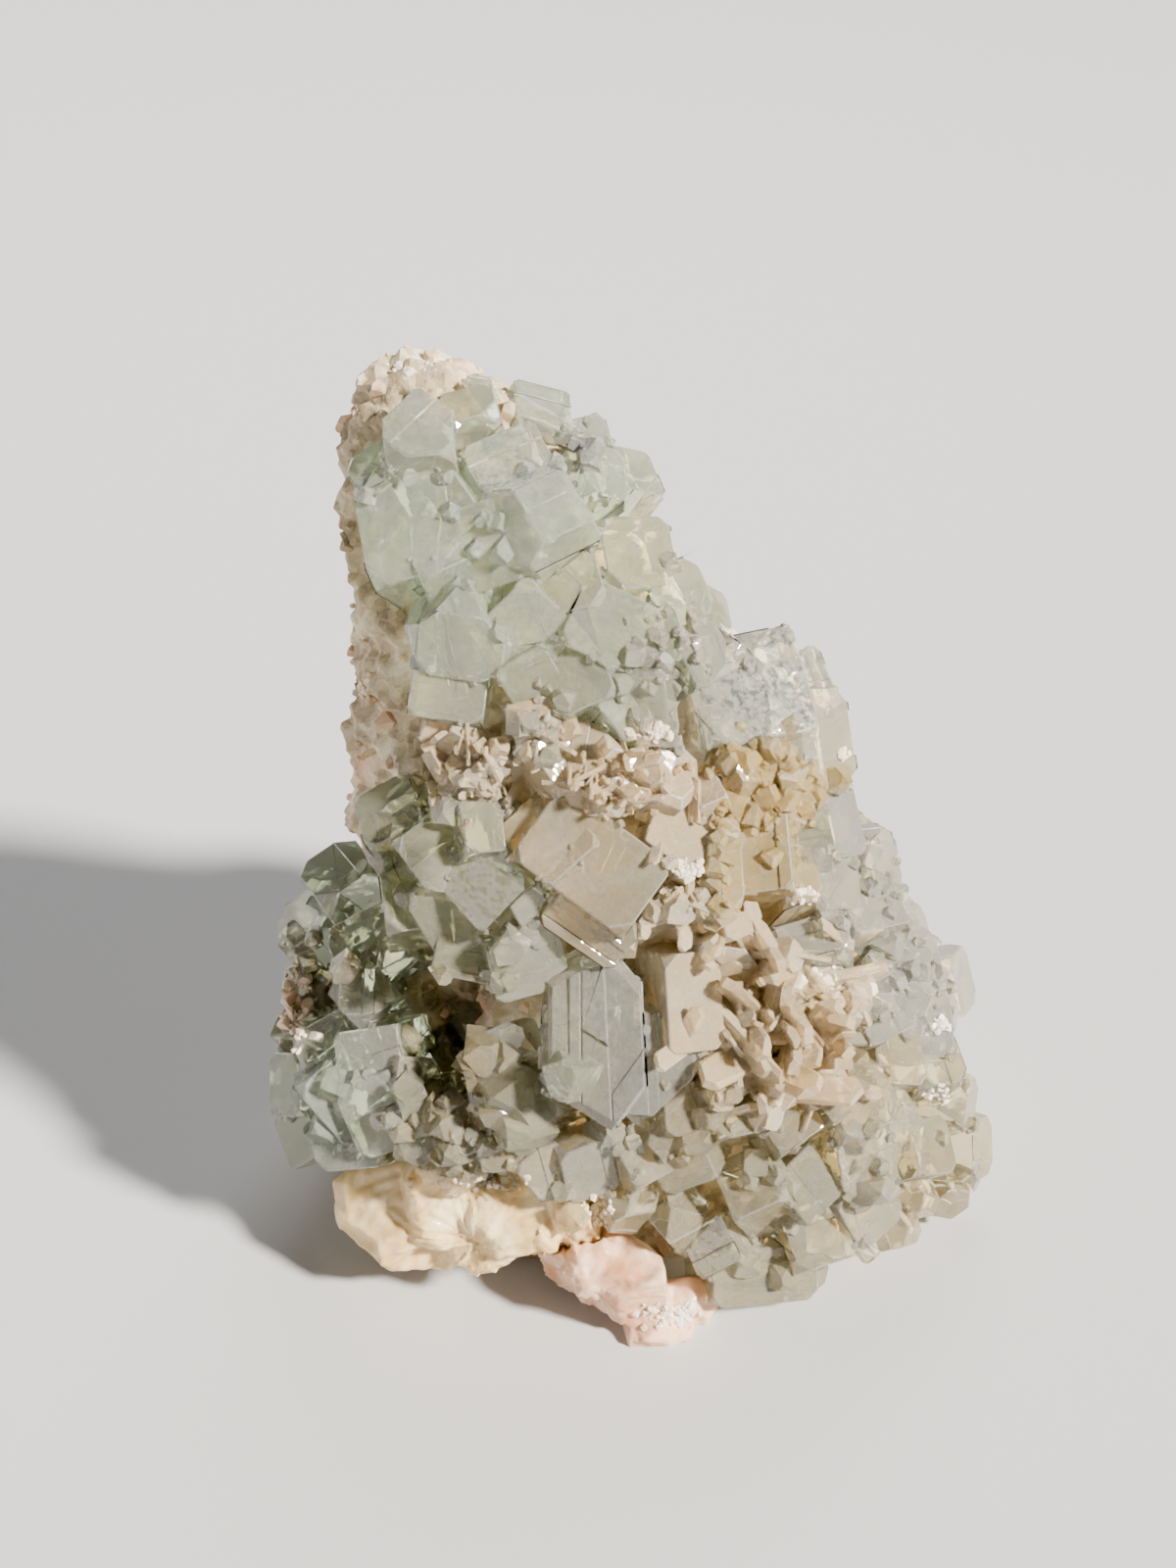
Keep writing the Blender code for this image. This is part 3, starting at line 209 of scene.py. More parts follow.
def put(tree, kind, settings=None, **values):
    """Adds a node; settings are its properties, values are its unlinked sockets by name."""
    node = tree.nodes.new(kind)
    for name, value in (settings or {}).items():
        setattr(node, name, value)
    for name, value in values.items():
        node.inputs[name].default_value = value
    return node


def link(tree, source, target):
    """Joins an output socket to an input socket."""
    tree.links.new(source, target)


def ramp(tree, factor, stops):
    """Colour ramp from (place, colour) stops, read by a factor output. Gives its colour output."""
    node = tree.nodes.new("ShaderNodeValToRGB")
    marks = node.color_ramp.elements
    while len(marks) < len(stops):
        marks.new(0.5)
    for mark, (place, colour) in zip(marks, stops):
        mark.position = place
        mark.color = (*colour, 1.0)
    link(tree, factor, node.inputs["Fac"])
    return node.outputs["Color"]


def cloud(tree, where, scale, detail=4.0, rough=0.55, twist=0.0):
    """Noise pattern per metre of the object. Gives its factor output."""
    node = put(tree, "ShaderNodeTexNoise", Scale=scale, Detail=detail, Roughness=rough, Distortion=twist)
    link(tree, where, node.inputs["Vector"])
    return node.outputs["Fac"]


def blend_colour(tree, factor, first, second, how="MIX"):
    """Mixes two colours, each a plain colour or an output. Gives the result output."""
    node = tree.nodes.new("ShaderNodeMix")
    node.data_type = "RGBA"
    node.blend_type = how
    colour_a, colour_b = [s for s in node.inputs if s.type == "RGBA"]
    for socket, value in ((node.inputs["Factor"], factor), (colour_a, first), (colour_b, second)):
        if isinstance(value, bpy.types.NodeSocket):
            link(tree, value, socket)
        elif isinstance(value, (int, float)):
            socket.default_value = value
        else:
            socket.default_value = (*value, 1.0)
    return [s for s in node.outputs if s.type == "RGBA"][0]


def combine(tree, how, *parts):
    """Math node with operation how; each part is an output or a number. Gives its value output."""
    node = put(tree, "ShaderNodeMath", {"operation": how})
    for socket, part in zip(node.inputs, parts):
        if isinstance(part, bpy.types.NodeSocket):
            link(tree, part, socket)
        else:
            socket.default_value = part
    return node.outputs["Value"]


def times(tree, first, second):
    """Product of two outputs, or of an output and a number."""
    return combine(tree, "MULTIPLY", first, second)


def spread(tree, factor, low, high, start=0.0, end=1.0):
    """Maps a factor from start..end to low..high."""
    node = tree.nodes.new("ShaderNodeMapRange")
    for name, value in (("From Min", start), ("From Max", end), ("To Min", low), ("To Max", high)):
        node.inputs[name].default_value = value
    link(tree, factor, node.inputs["Value"])
    return node.outputs["Result"]


def blank_finish(name):
    """New material. Gives it, its tree, its shader and the output of places on the object."""
    finish = bpy.data.materials.new(name)
    finish.use_nodes = True
    tree = finish.node_tree
    where = tree.nodes.new("ShaderNodeTexCoord").outputs["Object"]
    return finish, tree, tree.nodes["Principled BSDF"], where


def bump(tree, shader, height, strength, distance):
    """Small relief in the shading alone, from a factor output; distance is in metres."""
    node = put(tree, "ShaderNodeBump", Strength=strength, Distance=distance)
    link(tree, height, node.inputs["Height"])
    link(tree, node.outputs["Normal"], shader.inputs["Normal"])


# %% [markdown]
# ## Finish of the apophyllite
# Real apophyllite is a clear mineral made milky by fine fractures and tiny bubbles. Its faces go from
# glassy to pearly, and veils, smoky specks and rusty stains lie inside it. Light goes through it, so the
# shader has plain transmission, the mineral's refractive index of 1.535 and a plain volume absorption
# that deepens the tint where a crystal is thick. The veils, the specks and the pale lines of healed
# fractures are patterns in the base colour, because they scatter light and do not bend it. Values that
# each facet carries as attributes of the mesh, such as its tone and haze, make neighbouring faces differ
# as they do on the real crystals.

# %% Apophyllite finish
APOPHYLLITE_IOR = 1.535


def facet_value(tree, name):
    """One of the values that each facet carries: tone, warm, haze, smoke or rim."""
    return put(tree, "ShaderNodeAttribute", {"attribute_name": name}).outputs["Fac"]


LEAST_ROUGH = 0.04
SPECK_PALE = (0.97, 0.98, 0.98)
SPECK_DARK = (0.20, 0.23, 0.27)
# pale colour of frosted rims and healed fractures, and of the painted highlights on the rims and the painted
# glints
PALE_FROST_AND_HIGHLIGHT = (1.0, 1.0, 0.98)
RIM_FROST_AND_HIGHLIGHT_SHARE = 0.8
PATCH_SCALE, VEIL_SCALE, FRACTURE_SCALE, RIPPLE_SCALE, SPECK_SCALE = 70.0, 150.0, 260.0, 420.0, 1200.0


def see_through(name, clear, milky, warm, tint, glassy, depth, ior=APOPHYLLITE_IOR):
    """Clear crystal: clear, milky and warm are colours of its body, tint colours what is thick."""
    finish, tree, shader, where = blank_finish(name)
    veils = cloud(tree, where, VEIL_SCALE, 3.0, 0.65, 1.0)
    fine = cloud(tree, where, SPECK_SCALE, 2.0, 0.7)
    patches = cloud(tree, where, PATCH_SCALE, 2.0)
    body = blend_colour(tree, spread(tree, veils, 0.0, 1.0, 0.44, 0.60), clear, milky)
    warmth = times(tree, facet_value(tree, "warm"), spread(tree, patches, 0.5, 1.0, 0.35, 0.6))
    golden = blend_colour(tree, warmth, body, warm)
    smoke_zone = times(tree, facet_value(tree, "smoke"), spread(tree, veils, 0.0, 1.0, 0.42, 0.52))
    sugar = blend_colour(tree, spread(tree, fine, 0.0, 1.0, 0.44, 0.60), SPECK_PALE, SPECK_DARK)
    speckled = blend_colour(tree, smoke_zone, golden, sugar)
    # painted glints: sparse white specks in the base colour stand in for sparkles of light off tiny facets
    painted_glints = spread(tree, fine, 0.0, 0.8, 0.66, 0.72)
    cells = put(tree, "ShaderNodeTexVoronoi", {"feature": "DISTANCE_TO_EDGE"}, Scale=FRACTURE_SCALE)
    link(tree, where, cells.inputs["Vector"])
    fractures = times(tree, spread(tree, cells.outputs["Distance"], 0.75, 0.0, 0.0, 0.03),
                      spread(tree, patches, 0.0, 1.0, 0.42, 0.6))
    # the rims are painted pale: partly the frosted edge of the crystal, partly a painted highlight of light
    # along the bevels; the painted glints and the healed fractures share this pale colour
    pale = times(tree, facet_value(tree, "rim"), RIM_FROST_AND_HIGHLIGHT_SHARE)
    for other in (painted_glints, fractures):
        pale = combine(tree, "MAXIMUM", pale, other)
    link(tree, blend_colour(tree, pale, speckled, PALE_FROST_AND_HIGHLIGHT), shader.inputs["Base Color"])

    frost = times(tree, facet_value(tree, "haze"), spread(tree, veils, 0.05, 0.28, 0.35, 0.65))
    dull = combine(tree, "MULTIPLY_ADD", frost, facet_value(tree, "tone"), LEAST_ROUGH)
    link(tree, dull, shader.inputs["Roughness"])
    bump(tree, shader, cloud(tree, where, RIPPLE_SCALE, 2.0, 0.7), 0.45, 0.2 * MM)

    shader.inputs["IOR"].default_value = ior
    shader.inputs["Transmission Weight"].default_value = glassy
    soak = put(tree, "ShaderNodeVolumeAbsorption", Density=depth)
    soak.inputs["Color"].default_value = (*tint, 1.0)
    link(tree, soak.outputs["Volume"], tree.nodes["Material Output"].inputs["Volume"])
    return finish


GREEN = see_through("green_apophyllite_glass", (0.80, 0.88, 0.75), (0.97, 0.99, 0.93), (0.94, 0.82, 0.52),
                    (0.79, 0.89, 0.74), glassy=0.85, depth=85.0)
CLEAR = see_through("clear_apophyllite_glass", (0.89, 0.90, 0.82), (0.99, 0.99, 0.94), (0.95, 0.82, 0.56),
                    (0.88, 0.88, 0.75), glassy=0.84, depth=55.0)
SILVERY = see_through("silvery_apophyllite_glass", (0.87, 0.88, 0.77), (0.99, 0.99, 0.92), (0.92, 0.82, 0.60),
                      (0.88, 0.89, 0.74), glassy=0.87, depth=50.0)
SMOKY = see_through("smoky_apophyllite_glass", (0.90, 0.82, 0.58), (0.98, 0.94, 0.78), (0.93, 0.74, 0.42),
                    (0.93, 0.81, 0.50), glassy=0.84, depth=65.0)
CREAM = see_through("cream_apophyllite_glass", (0.91, 0.86, 0.64), (0.98, 0.95, 0.80), (0.94, 0.77, 0.44),
                    (0.93, 0.85, 0.56), glassy=0.86, depth=50.0)
# painted shade: a darker, greyer copy of the green finish, with deeper absorption, for the crystals that lie
# in shade on the left and in the hollow
GREEN_IN_PAINTED_SHADE = see_through("green_apophyllite_glass_painted_shade", (0.77, 0.80, 0.65), (0.95, 0.96, 0.87),
                    (0.88, 0.73, 0.43), (0.79, 0.84, 0.62), glassy=0.86, depth=110.0)
print("apophyllite finishes:", [m.name for m in bpy.data.materials if "apophyllite" in m.name])

# %% [markdown]
# ## Finish of the stilbite, and of the rock
# Stilbite is a peach, honey or pink zeolite. The honey block and the peach blades are clear enough to be
# see-through, so they take the finish above with their own colours. The fans, the pink blade and the
# sugary crusts glow rather than shine: light enters, scatters and comes out nearby, so they take
# subsurface scattering with a silky surface. The rock is granular, dull and stained.

# %% Stilbite finishes
STILBITE_IOR = 1.50
MOTTLE_SCALE, SUGAR_SCALE = 170.0, 1000.0
GLOW = 0.25
GLOW_REACH = 1.6 * MM
GLOW_RADIUS = (1.0, 0.62, 0.38)
PEACH = see_through("peach_stilbite_silk", (0.95, 0.80, 0.54), (0.99, 0.92, 0.74), (0.94, 0.71, 0.43),
                    (0.96, 0.85, 0.62), glassy=0.72, depth=34.0, ior=STILBITE_IOR)
AMBER = see_through("amber_stilbite_glow", (0.93, 0.77, 0.41), (0.98, 0.90, 0.62), (0.93, 0.68, 0.29),
                    (0.95, 0.79, 0.42), glassy=0.78, depth=80.0, ior=STILBITE_IOR)


def crust(name, body, pale, deep, rough):
    """Sugary or powdery crust: light enters a little way, scatters and comes out nearby."""
    finish, tree, shader, where = blank_finish(name)
    mottle = spread(tree, cloud(tree, where, MOTTLE_SCALE, 4.0, 0.7), 0.0, 1.0, 0.38, 0.64)
    base = blend_colour(tree, mottle, body, pale)
    stained = blend_colour(tree, times(tree, facet_value(tree, "warm"), 0.9), base, deep)
    edged = blend_colour(tree, facet_value(tree, "rim"), stained, pale)
    link(tree, edged, shader.inputs["Base Color"])
    shader.inputs["Roughness"].default_value = rough
    bump(tree, shader, cloud(tree, where, SUGAR_SCALE, 2.0, 0.65), 0.4, 0.12 * MM)
    shader.inputs["IOR"].default_value = STILBITE_IOR
    shader.inputs["Subsurface Weight"].default_value = GLOW
    shader.inputs["Subsurface Scale"].default_value = GLOW_REACH
    shader.inputs["Subsurface Radius"].default_value = GLOW_RADIUS
    return finish


PINK = crust("pink_stilbite_silk", (0.62, 0.31, 0.18), (0.80, 0.60, 0.44), (0.56, 0.25, 0.14), rough=0.28)
SILK = crust("cream_stilbite_silk", (0.60, 0.38, 0.14), (0.82, 0.67, 0.40), (0.52, 0.30, 0.10), rough=0.28)
WHITE = crust("white_sugary_crust", (0.72, 0.65, 0.52), (0.88, 0.85, 0.76), (0.70, 0.46, 0.31), rough=0.34)

# %% Rock finish
ROCK_TONES = ((0.30, (0.14, 0.11, 0.07)), (0.42, (0.34, 0.27, 0.17)), (0.54, (0.54, 0.45, 0.31)),
              (0.68, (0.80, 0.73, 0.58)))
SALMON = (0.80, 0.47, 0.32)
ROCK_ZONE_SCALE, ROCK_LUMP_SCALE, ROCK_GRAIN_SCALE = 120.0, 620.0, 900.0


def rock(name):
    """Granular rock in greys, tans and cream, with salmon stains."""
    finish, tree, shader, where = blank_finish(name)
    grains = put(tree, "ShaderNodeTexVoronoi", Scale=ROCK_GRAIN_SCALE)
    link(tree, where, grains.inputs["Vector"])
    zones = ramp(tree, cloud(tree, where, ROCK_ZONE_SCALE, 6.0, 0.62), ROCK_TONES)
    grey = tree.nodes.new("ShaderNodeRGBToBW")
    link(tree, grains.outputs["Color"], grey.inputs["Color"])
    grainy = blend_colour(tree, 0.6, zones, grey.outputs["Val"], "SOFT_LIGHT")
    stain = times(tree, facet_value(tree, "warm"), 0.7)
    link(tree, blend_colour(tree, stain, grainy, SALMON), shader.inputs["Base Color"])
    shader.inputs["Roughness"].default_value = 0.78
    bump(tree, shader, cloud(tree, where, ROCK_LUMP_SCALE, 4.0, 0.7), 0.7, 0.4 * MM)
    return finish


ROCK = rock("weathered_rock")
print("finishes in all:", len(bpy.data.materials))

# %% [markdown]
# ## Zones of warmth, haze and smoke
# The specimen changes from mint at the top to honey and cream below, and single crystals are frosty or
# smoky. One material for each shade would be many, and their borders would show. So each finish has one
# tree that reads three values from the mesh, and a short table says how warm, hazy and smoky the crystals
# are around a few places in the frame. A facet takes the mean of the zones near it, and facets that the
# frame doesn't show take a slow noise.

# %% Zones
FOCAL = LENS / LONG_SIDE * FRAME_TALL
ZONE_DRIFT = 0.08
DRIFT_SCALES = (0.11, 0.16, 0.07)
DRIFT_SHIFT = Vector((9.0, 5.0, 2.0))
DEEPEST_IN_VIEW = 20 * MM
FACET_VALUES = ("warm", "haze", "smoke")
# each zone is the place of its middle across and down the frame, its reach there, and the three values
ZONES = (
    (430, 457, 40, 0.15, 0.2, 0.0), (495, 428, 32, 0.1, 0.6, 0.0), (520, 480, 32, 0.05, 0.2, 0.9),
    (555, 420, 36, 0.05, 0.5, 0.0), (592, 455, 28, 0.1, 1.0, 0.3), (650, 495, 32, 0.2, 0.5, 0.3),
    (545, 540, 52, 0.0, 0.5, 0.0), (566, 526, 24, 0.0, 0.7, 0.35), (400, 550, 46, 0.05, 0.5, 0.0),
    (450, 575, 28, 0.0, 0.3, 0.0), (465, 640, 54, 0.05, 0.6, 0.0), (540, 630, 40, 0.15, 0.4, 0.3),
    (590, 605, 26, 0.9, 0.6, 0.0), (640, 568, 40, 0.8, 0.4, 0.0), (620, 650, 40, 0.3, 0.4, 0.2),
    (685, 608, 32, 0.1, 1.0, 0.0), (725, 618, 24, 1.0, 0.4, 0.0), (690, 665, 46, 0.4, 0.5, 0.0),
    (612, 712, 34, 0.5, 0.5, 0.0), (450, 705, 44, 0.9, 0.2, 0.0), (470, 394, 30, 1.0, 0.6, 0.0),
    (405, 395, 40, 0.2, 0.6, 0.0), (785, 700, 50, 0.1, 0.2, 1.0), (830, 750, 36, 0.6, 0.5, 0.0),
    (600, 790, 60, 0.6, 0.6, 0.0), (700, 820, 40, 0.9, 0.6, 0.0), (780, 810, 46, 0.8, 0.6, 0.0),
    (775, 885, 46, 0.3, 0.3, 0.0), (590, 890, 60, 0.35, 0.2, 0.3), (600, 945, 24, 0.9, 0.4, 0.0),
    (695, 930, 46, 0.3, 0.2, 0.1), (440, 910, 60, 0.3, 0.3, 0.0), (610, 1060, 60, 0.15, 0.2, 0.2),
    (700, 1030, 34, 0.9, 0.3, 0.0), (800, 1030, 66, 0.6, 0.2, 0.0), (860, 965, 36, 0.35, 0.2, 0.05),
    (930, 1000, 50, 0.15, 0.2, 0.0), (980, 1006, 20, 1.0, 0.5, 0.0), (350, 1110, 60, 0.0, 0.5, 0.0),
    (470, 1080, 66, 0.9, 0.2, 0.0), (300, 1030, 34, 0.9, 0.8, 0.0), (500, 1165, 44, 0.4, 0.4, 0.0),
    (400, 1240, 50, 0.9, 0.7, 0.0), (520, 1245, 44, 0.6, 0.7, 0.0), (640, 1300, 44, 0.7, 0.6, 0.0),
    (690, 1330, 24, 0.1, 0.9, 0.0), (790, 1225, 44, 0.1, 0.1, 0.0), (780, 1300, 50, 0.2, 0.1, 0.0),
    (910, 1160, 40, 0.1, 0.2, 0.0), (975, 1170, 36, 0.4, 0.7, 0.0), (941, 1222, 18, 1.0, 0.5, 0.0),
    (760, 1120, 60, 0.6, 0.15, 0.0),
)


def to_frame(place):
    """How far across and down the 1200 by 1600 frame a place is seen."""
    away = place - EYE
    scale = FOCAL / away.dot(VIEW_AWAY)
    return (FRAME_WIDE / 2 + scale * away.dot(VIEW_RIGHT), FRAME_TALL / 2 - scale * away.dot(VIEW_UP))


def zone_values(place, way):
    """Warmth, haze and smoke of a facet: from the zones on the side in view, by noise elsewhere."""
    drift = [noise.noise(place / MM * scale + DRIFT_SHIFT * scale) for scale in DRIFT_SCALES]
    values = [0.35 + 0.9 * drift[0], 0.45 + 0.6 * drift[1], 1.6 * drift[2] - 0.35]
    if way.dot(EYE - place) > 0 and place.y < DEEPEST_IN_VIEW:
        across, down = to_frame(place)
        weight = ZONE_DRIFT
        values = [value * weight for value in values]
        for x, y, reach, *here in ZONES:
            share = math.exp(-((across - x) ** 2 + (down - y) ** 2) / reach ** 2)
            weight += share
            values = [value + share * part for value, part in zip(values, here)]
        values = [value / weight for value in values]
    return [min(max(value, 0.0), 1.0) for value in values]


print("zones:", len(ZONES))

# %% [markdown]
# ## Facets
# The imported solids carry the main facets. A real crystal face is never one clean plane: it has narrow
# bevels along its edges, and low growth steps, where a last layer of crystal stopped short of the edge.
# The bevel could be left to shading, but a true bevel catches the light along every edge, which is what
# makes a crystal read as glass. So each solid is copied, its loose triangles are merged into whole
# facets, steps are raised on the large ones, and its sharp edges are bevelled.

# %% Whole facets
SAME_CORNER = 0.004 * MM
FLAT_ANGLE = math.radians(1.0)
SHORTEST_EDGE = 0.22 * MM
NO_EDGE = 0.01 * MM


def merged_copy(node):
    """bmesh of a node with its loose triangles joined into whole flat facets."""
    bm = bmesh.new()
    bm.from_mesh(frame["nodes"][node].data)
    bmesh.ops.remove_doubles(bm, verts=bm.verts, dist=SAME_CORNER)
    bmesh.ops.dissolve_limit(bm, angle_limit=FLAT_ANGLE, verts=bm.verts, edges=bm.edges)
    bmesh.ops.remove_doubles(bm, verts=bm.verts, dist=SHORTEST_EDGE)
    bmesh.ops.dissolve_degenerate(bm, edges=bm.edges, dist=NO_EDGE)
    return bm


# %% Growth steps
STEP_AREA = 18 * MM * MM
STEP_RISE = 0.22 * MM
STEP_REACH = (0.35, 1.3)
MOST_CORNERS = 9
DOWNWARD = -0.6


def raise_steps(bm, rng, rank):
    """Cuts large facets along the edge of that rank by length, and lifts the smaller part of each."""
    raised = 0
    for face in [f for f in bm.faces if f.calc_area() > STEP_AREA]:
        if not face.is_valid or len(face.verts) > MOST_CORNERS or face.normal.z < DOWNWARD:
            continue
        longest = sorted(face.edges, key=lambda e: -e.calc_length())[rank]
        along = (longest.verts[1].co - longest.verts[0].co).normalized()
        inward = face.normal.cross(along)
        middle = face.calc_center_median()
        if (middle - longest.verts[0].co).dot(inward) < 0:
            inward = -inward
        reach = (middle - longest.verts[0].co).dot(inward)
        at = longest.verts[0].co + inward * reach * rng.uniform(*STEP_REACH)
        made = bmesh.ops.bisect_plane(bm, geom=[face] + list(face.edges) + list(face.verts), dist=1e-6,
                                      plane_co=at, plane_no=inward)
        parts = [f for f in made["geom"] if isinstance(f, bmesh.types.BMFace)]
        if len(parts) != 2:
            continue
        part = min(parts, key=lambda f: f.calc_area())
        lifted = bmesh.ops.extrude_discrete_faces(bm, faces=[part])["faces"]
        for new in lifted:
            bmesh.ops.translate(bm, vec=new.normal * STEP_RISE * rng.uniform(0.5, 1.0), verts=new.verts)
        raised += 1
    return raised


# %% Bevels and facet values
SHARP_ANGLE = math.radians(22.0)
BEVEL_ROOM = 3


def bevel_edges(bm, width):
    """Bevels the edges between facets that stand out, and marks the bevels as rims, which the finish paints
    pale: partly frosted edge, partly painted highlight.
    """
    rim = bm.faces.layers.float.new("rim")
    sharp = [e for e in bm.edges if len(e.link_faces) == 2 and e.is_convex
             and e.calc_face_angle(0.0) > SHARP_ANGLE and e.calc_length() > BEVEL_ROOM * width]
    made = bmesh.ops.bevel(bm, geom=sharp, offset=width, offset_type="OFFSET", segments=1, profile=0.6,
                           affect="EDGES", clamp_overlap=False)
    for face in made["faces"]:
        face[rim] = 1.0


def give_values(bm, seed):
    """Tone at random, and warmth, haze and smoke by zone, for each facet."""
    rng = random.Random(seed)
    tone, *layers = [bm.faces.layers.float.new(name) for name in ("tone", *FACET_VALUES)]
    for face in bm.faces:
        face[tone] = rng.random()
        for layer, value in zip(layers, zone_values(face.calc_center_median(), face.normal)):
            face[layer] = value


def piece_from(bm, name, finish):
    """New object at the origin from a bmesh, with one finish."""
    mesh = bpy.data.meshes.new(name)
    bm.to_mesh(mesh)
    bm.free()
    mesh.materials.append(finish)
    return add_object(name, mesh)


# %% Growths dressed as crystals
# each growth is its node, its slot, its finish and the width of its bevels in millimetres
GROWTHS = (
    ("summit_apophyllite", "green_apophyllite", GREEN, 0.16),
    ("shoulder_crystal", "clear_apophyllite", CLEAR, 0.18),
    ("tabular_crystal", "smoky_apophyllite", SMOKY, 0.18),
    ("stepped_crystal", "clear_apophyllite", SILVERY, 0.18),
    # darker copy of the green finish: painted shade on the crystals of the shaded left side
    ("left_apophyllite", "green_apophyllite", GREEN_IN_PAINTED_SHADE, 0.16),
    ("lower_left_apophyllite", "green_apophyllite", GREEN, 0.16),
    ("right_apophyllite", "clear_apophyllite", CLEAR, 0.15),
    ("cream_apophyllite", "cream_apophyllite", CREAM, 0.15),
    ("front_base_apophyllite", "cream_apophyllite", CREAM, 0.15),
    ("right_base_apophyllite", "cream_apophyllite", CREAM, 0.15),
    ("back_apophyllite", "green_apophyllite", GREEN, 0.18),
    ("back_left_apophyllite", "green_apophyllite", GREEN, 0.18),
    ("amber_stilbite", "amber_stilbite", AMBER, 0.15),
    ("stilbite_band", "peach_stilbite", PEACH, 0.13),
    ("stilbite_sprays", "peach_stilbite", PEACH, 0.13),
)
STEP_ROUNDS = {"stepped_crystal": 3, "tabular_crystal": 2, "shoulder_crystal": 2}

for seed, (node, slot, finish, bevel) in enumerate(GROWTHS):
    bm = merged_copy(node)
    facets = len(bm.faces)
    rng = random.Random(seed)
    steps = sum(raise_steps(bm, rng, rank) for rank in range(STEP_ROUNDS.get(node, 1)))
    give_values(bm, seed)
    bevel_edges(bm, bevel * MM)
    piece = piece_from(bm, node + "_facets", finish)
    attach(piece, "root")
    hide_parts(node)
    print(node, facets, "facets,", steps, "steps,", len(piece.data.polygons), "faces after bevelling")

# %% [markdown]
# ## Small crystals in the seams
# Where big crystals meet, later and smaller ones crowd the seam. They are what makes a cluster look
# grown and not stacked. Placing them by hand would take thousands of rows, so the places are found on
# the mesh instead: points along every seam where two crystals meet at an inward angle, or where one
# growth runs into the next. A tree of geometry nodes then stands a small crystal on each point, with its
# own size, turn and lean, and realizes them all into one mesh. The forms themselves are cut from a cube
# by planes, as a crystal is bounded by its own: a block, a lath and a rounded grain.

# %% Forms of the small crystals
UNCUT_CUBE = 30.0
FORM_VARIANTS = 5
FORM_SEED = 40
GRAIN_SIDES = 12
GRAIN_TURN = math.radians(137.5)


def solid_of_planes(planes, name):
    """Closed convex mesh under the planes, each a normal and a distance, in millimetres."""
    bm = bmesh.new()
    bmesh.ops.create_cube(bm, size=UNCUT_CUBE)
    for normal, distance in planes:
        way = Vector(normal).normalized()
        cut = bmesh.ops.bisect_plane(bm, geom=bm.verts[:] + bm.edges[:] + bm.faces[:], dist=1e-4,
                                     plane_co=way * distance, plane_no=way, clear_outer=True)
        rim = [item for item in cut["geom_cut"] if isinstance(item, bmesh.types.BMEdge)]
        if len(rim) > 2:
            bmesh.ops.contextual_create(bm, geom=rim)
    bmesh.ops.recalc_face_normals(bm, faces=bm.faces)
    bmesh.ops.scale(bm, vec=(MM, MM, MM), verts=bm.verts)
    mesh = bpy.data.meshes.new(name)
    bm.to_mesh(mesh)
    bm.free()
    return mesh


def block_planes(rng):
    """Square block one millimetre across with its top corners cut by the steep pyramid."""
    planes = []
    for axis in range(3):
        for sign in (1, -1):
            normal = [0, 0, 0]
            normal[axis] = sign
            planes.append((normal, rng.uniform(0.42, 0.56) * (1.25 if axis == 2 else 1.0)))
    for side_a in (1, -1):
        for side_b in (1, -1):
            planes.append(((0.612 * side_a, 0.612 * side_b, 0.5), rng.uniform(0.60, 0.86)))
    return planes


def lath_planes(rng):
    """Thin blade two millimetres long, bevelled along its sides and pointed at its free end."""
    planes = [((sign, 0, 0), rng.uniform(0.22, 0.38)) for sign in (1, -1)]
    planes += [((0, sign, 0), rng.uniform(0.08, 0.13)) for sign in (1, -1)]
    planes += [((sign * 0.55, 0, 0.83), rng.uniform(0.70, 0.90)) for sign in (1, -1)]
    planes += [((0.6 * side_a, 0.8 * side_b, 0.05), rng.uniform(0.22, 0.28))
               for side_a in (1, -1) for side_b in (1, -1)]
    planes.append(((0, 0, -1), 0.9))
    return planes


def grain_planes(rng):
    """Rounded grain one millimetre across, with a dozen flat sides."""
    planes = []
    for k in range(GRAIN_SIDES):
        up = 1 - 2 * (k + 0.5) / GRAIN_SIDES
        around = k * GRAIN_TURN + rng.uniform(-0.4, 0.4)
        flat = math.sqrt(1 - up * up)
        planes.append(((flat * math.cos(around), flat * math.sin(around), up), rng.uniform(0.38, 0.5)))
    return planes


def family(name, maker):
    """Collection of a few variants of one small form, outside the scene, for the node tree to pick from."""
    shelf = bpy.data.collections.new(name)
    for k in range(FORM_VARIANTS):
        mesh = solid_of_planes(maker(random.Random(FORM_SEED + k)), f"{name}_{k}")
        shelf.objects.link(bpy.data.objects.new(f"{name}_{k}", mesh))
    return shelf


BLOCKS = family("small_block", block_planes)
LATHS = family("small_lath", lath_planes)
GRAINS = family("small_grain", grain_planes)
JUMBLE = bpy.data.collections.new("small_jumble")
for shelf in (BLOCKS, LATHS):
    for form in shelf.objects[:3]:
        JUMBLE.objects.link(form)

# %% Tree that stands small forms on points
FEW_LARGE = 2.4


def chance(tree, seed=None):
    """Random number from 0 to 1 for each point, by a seed output. Gives its output."""
    node = put(tree, "FunctionNodeRandomValue", {"data_type": "FLOAT"})
    if seed:
        link(tree, seed, node.inputs["Seed"])
    return [s for s in node.outputs if s.type == "VALUE"][0]


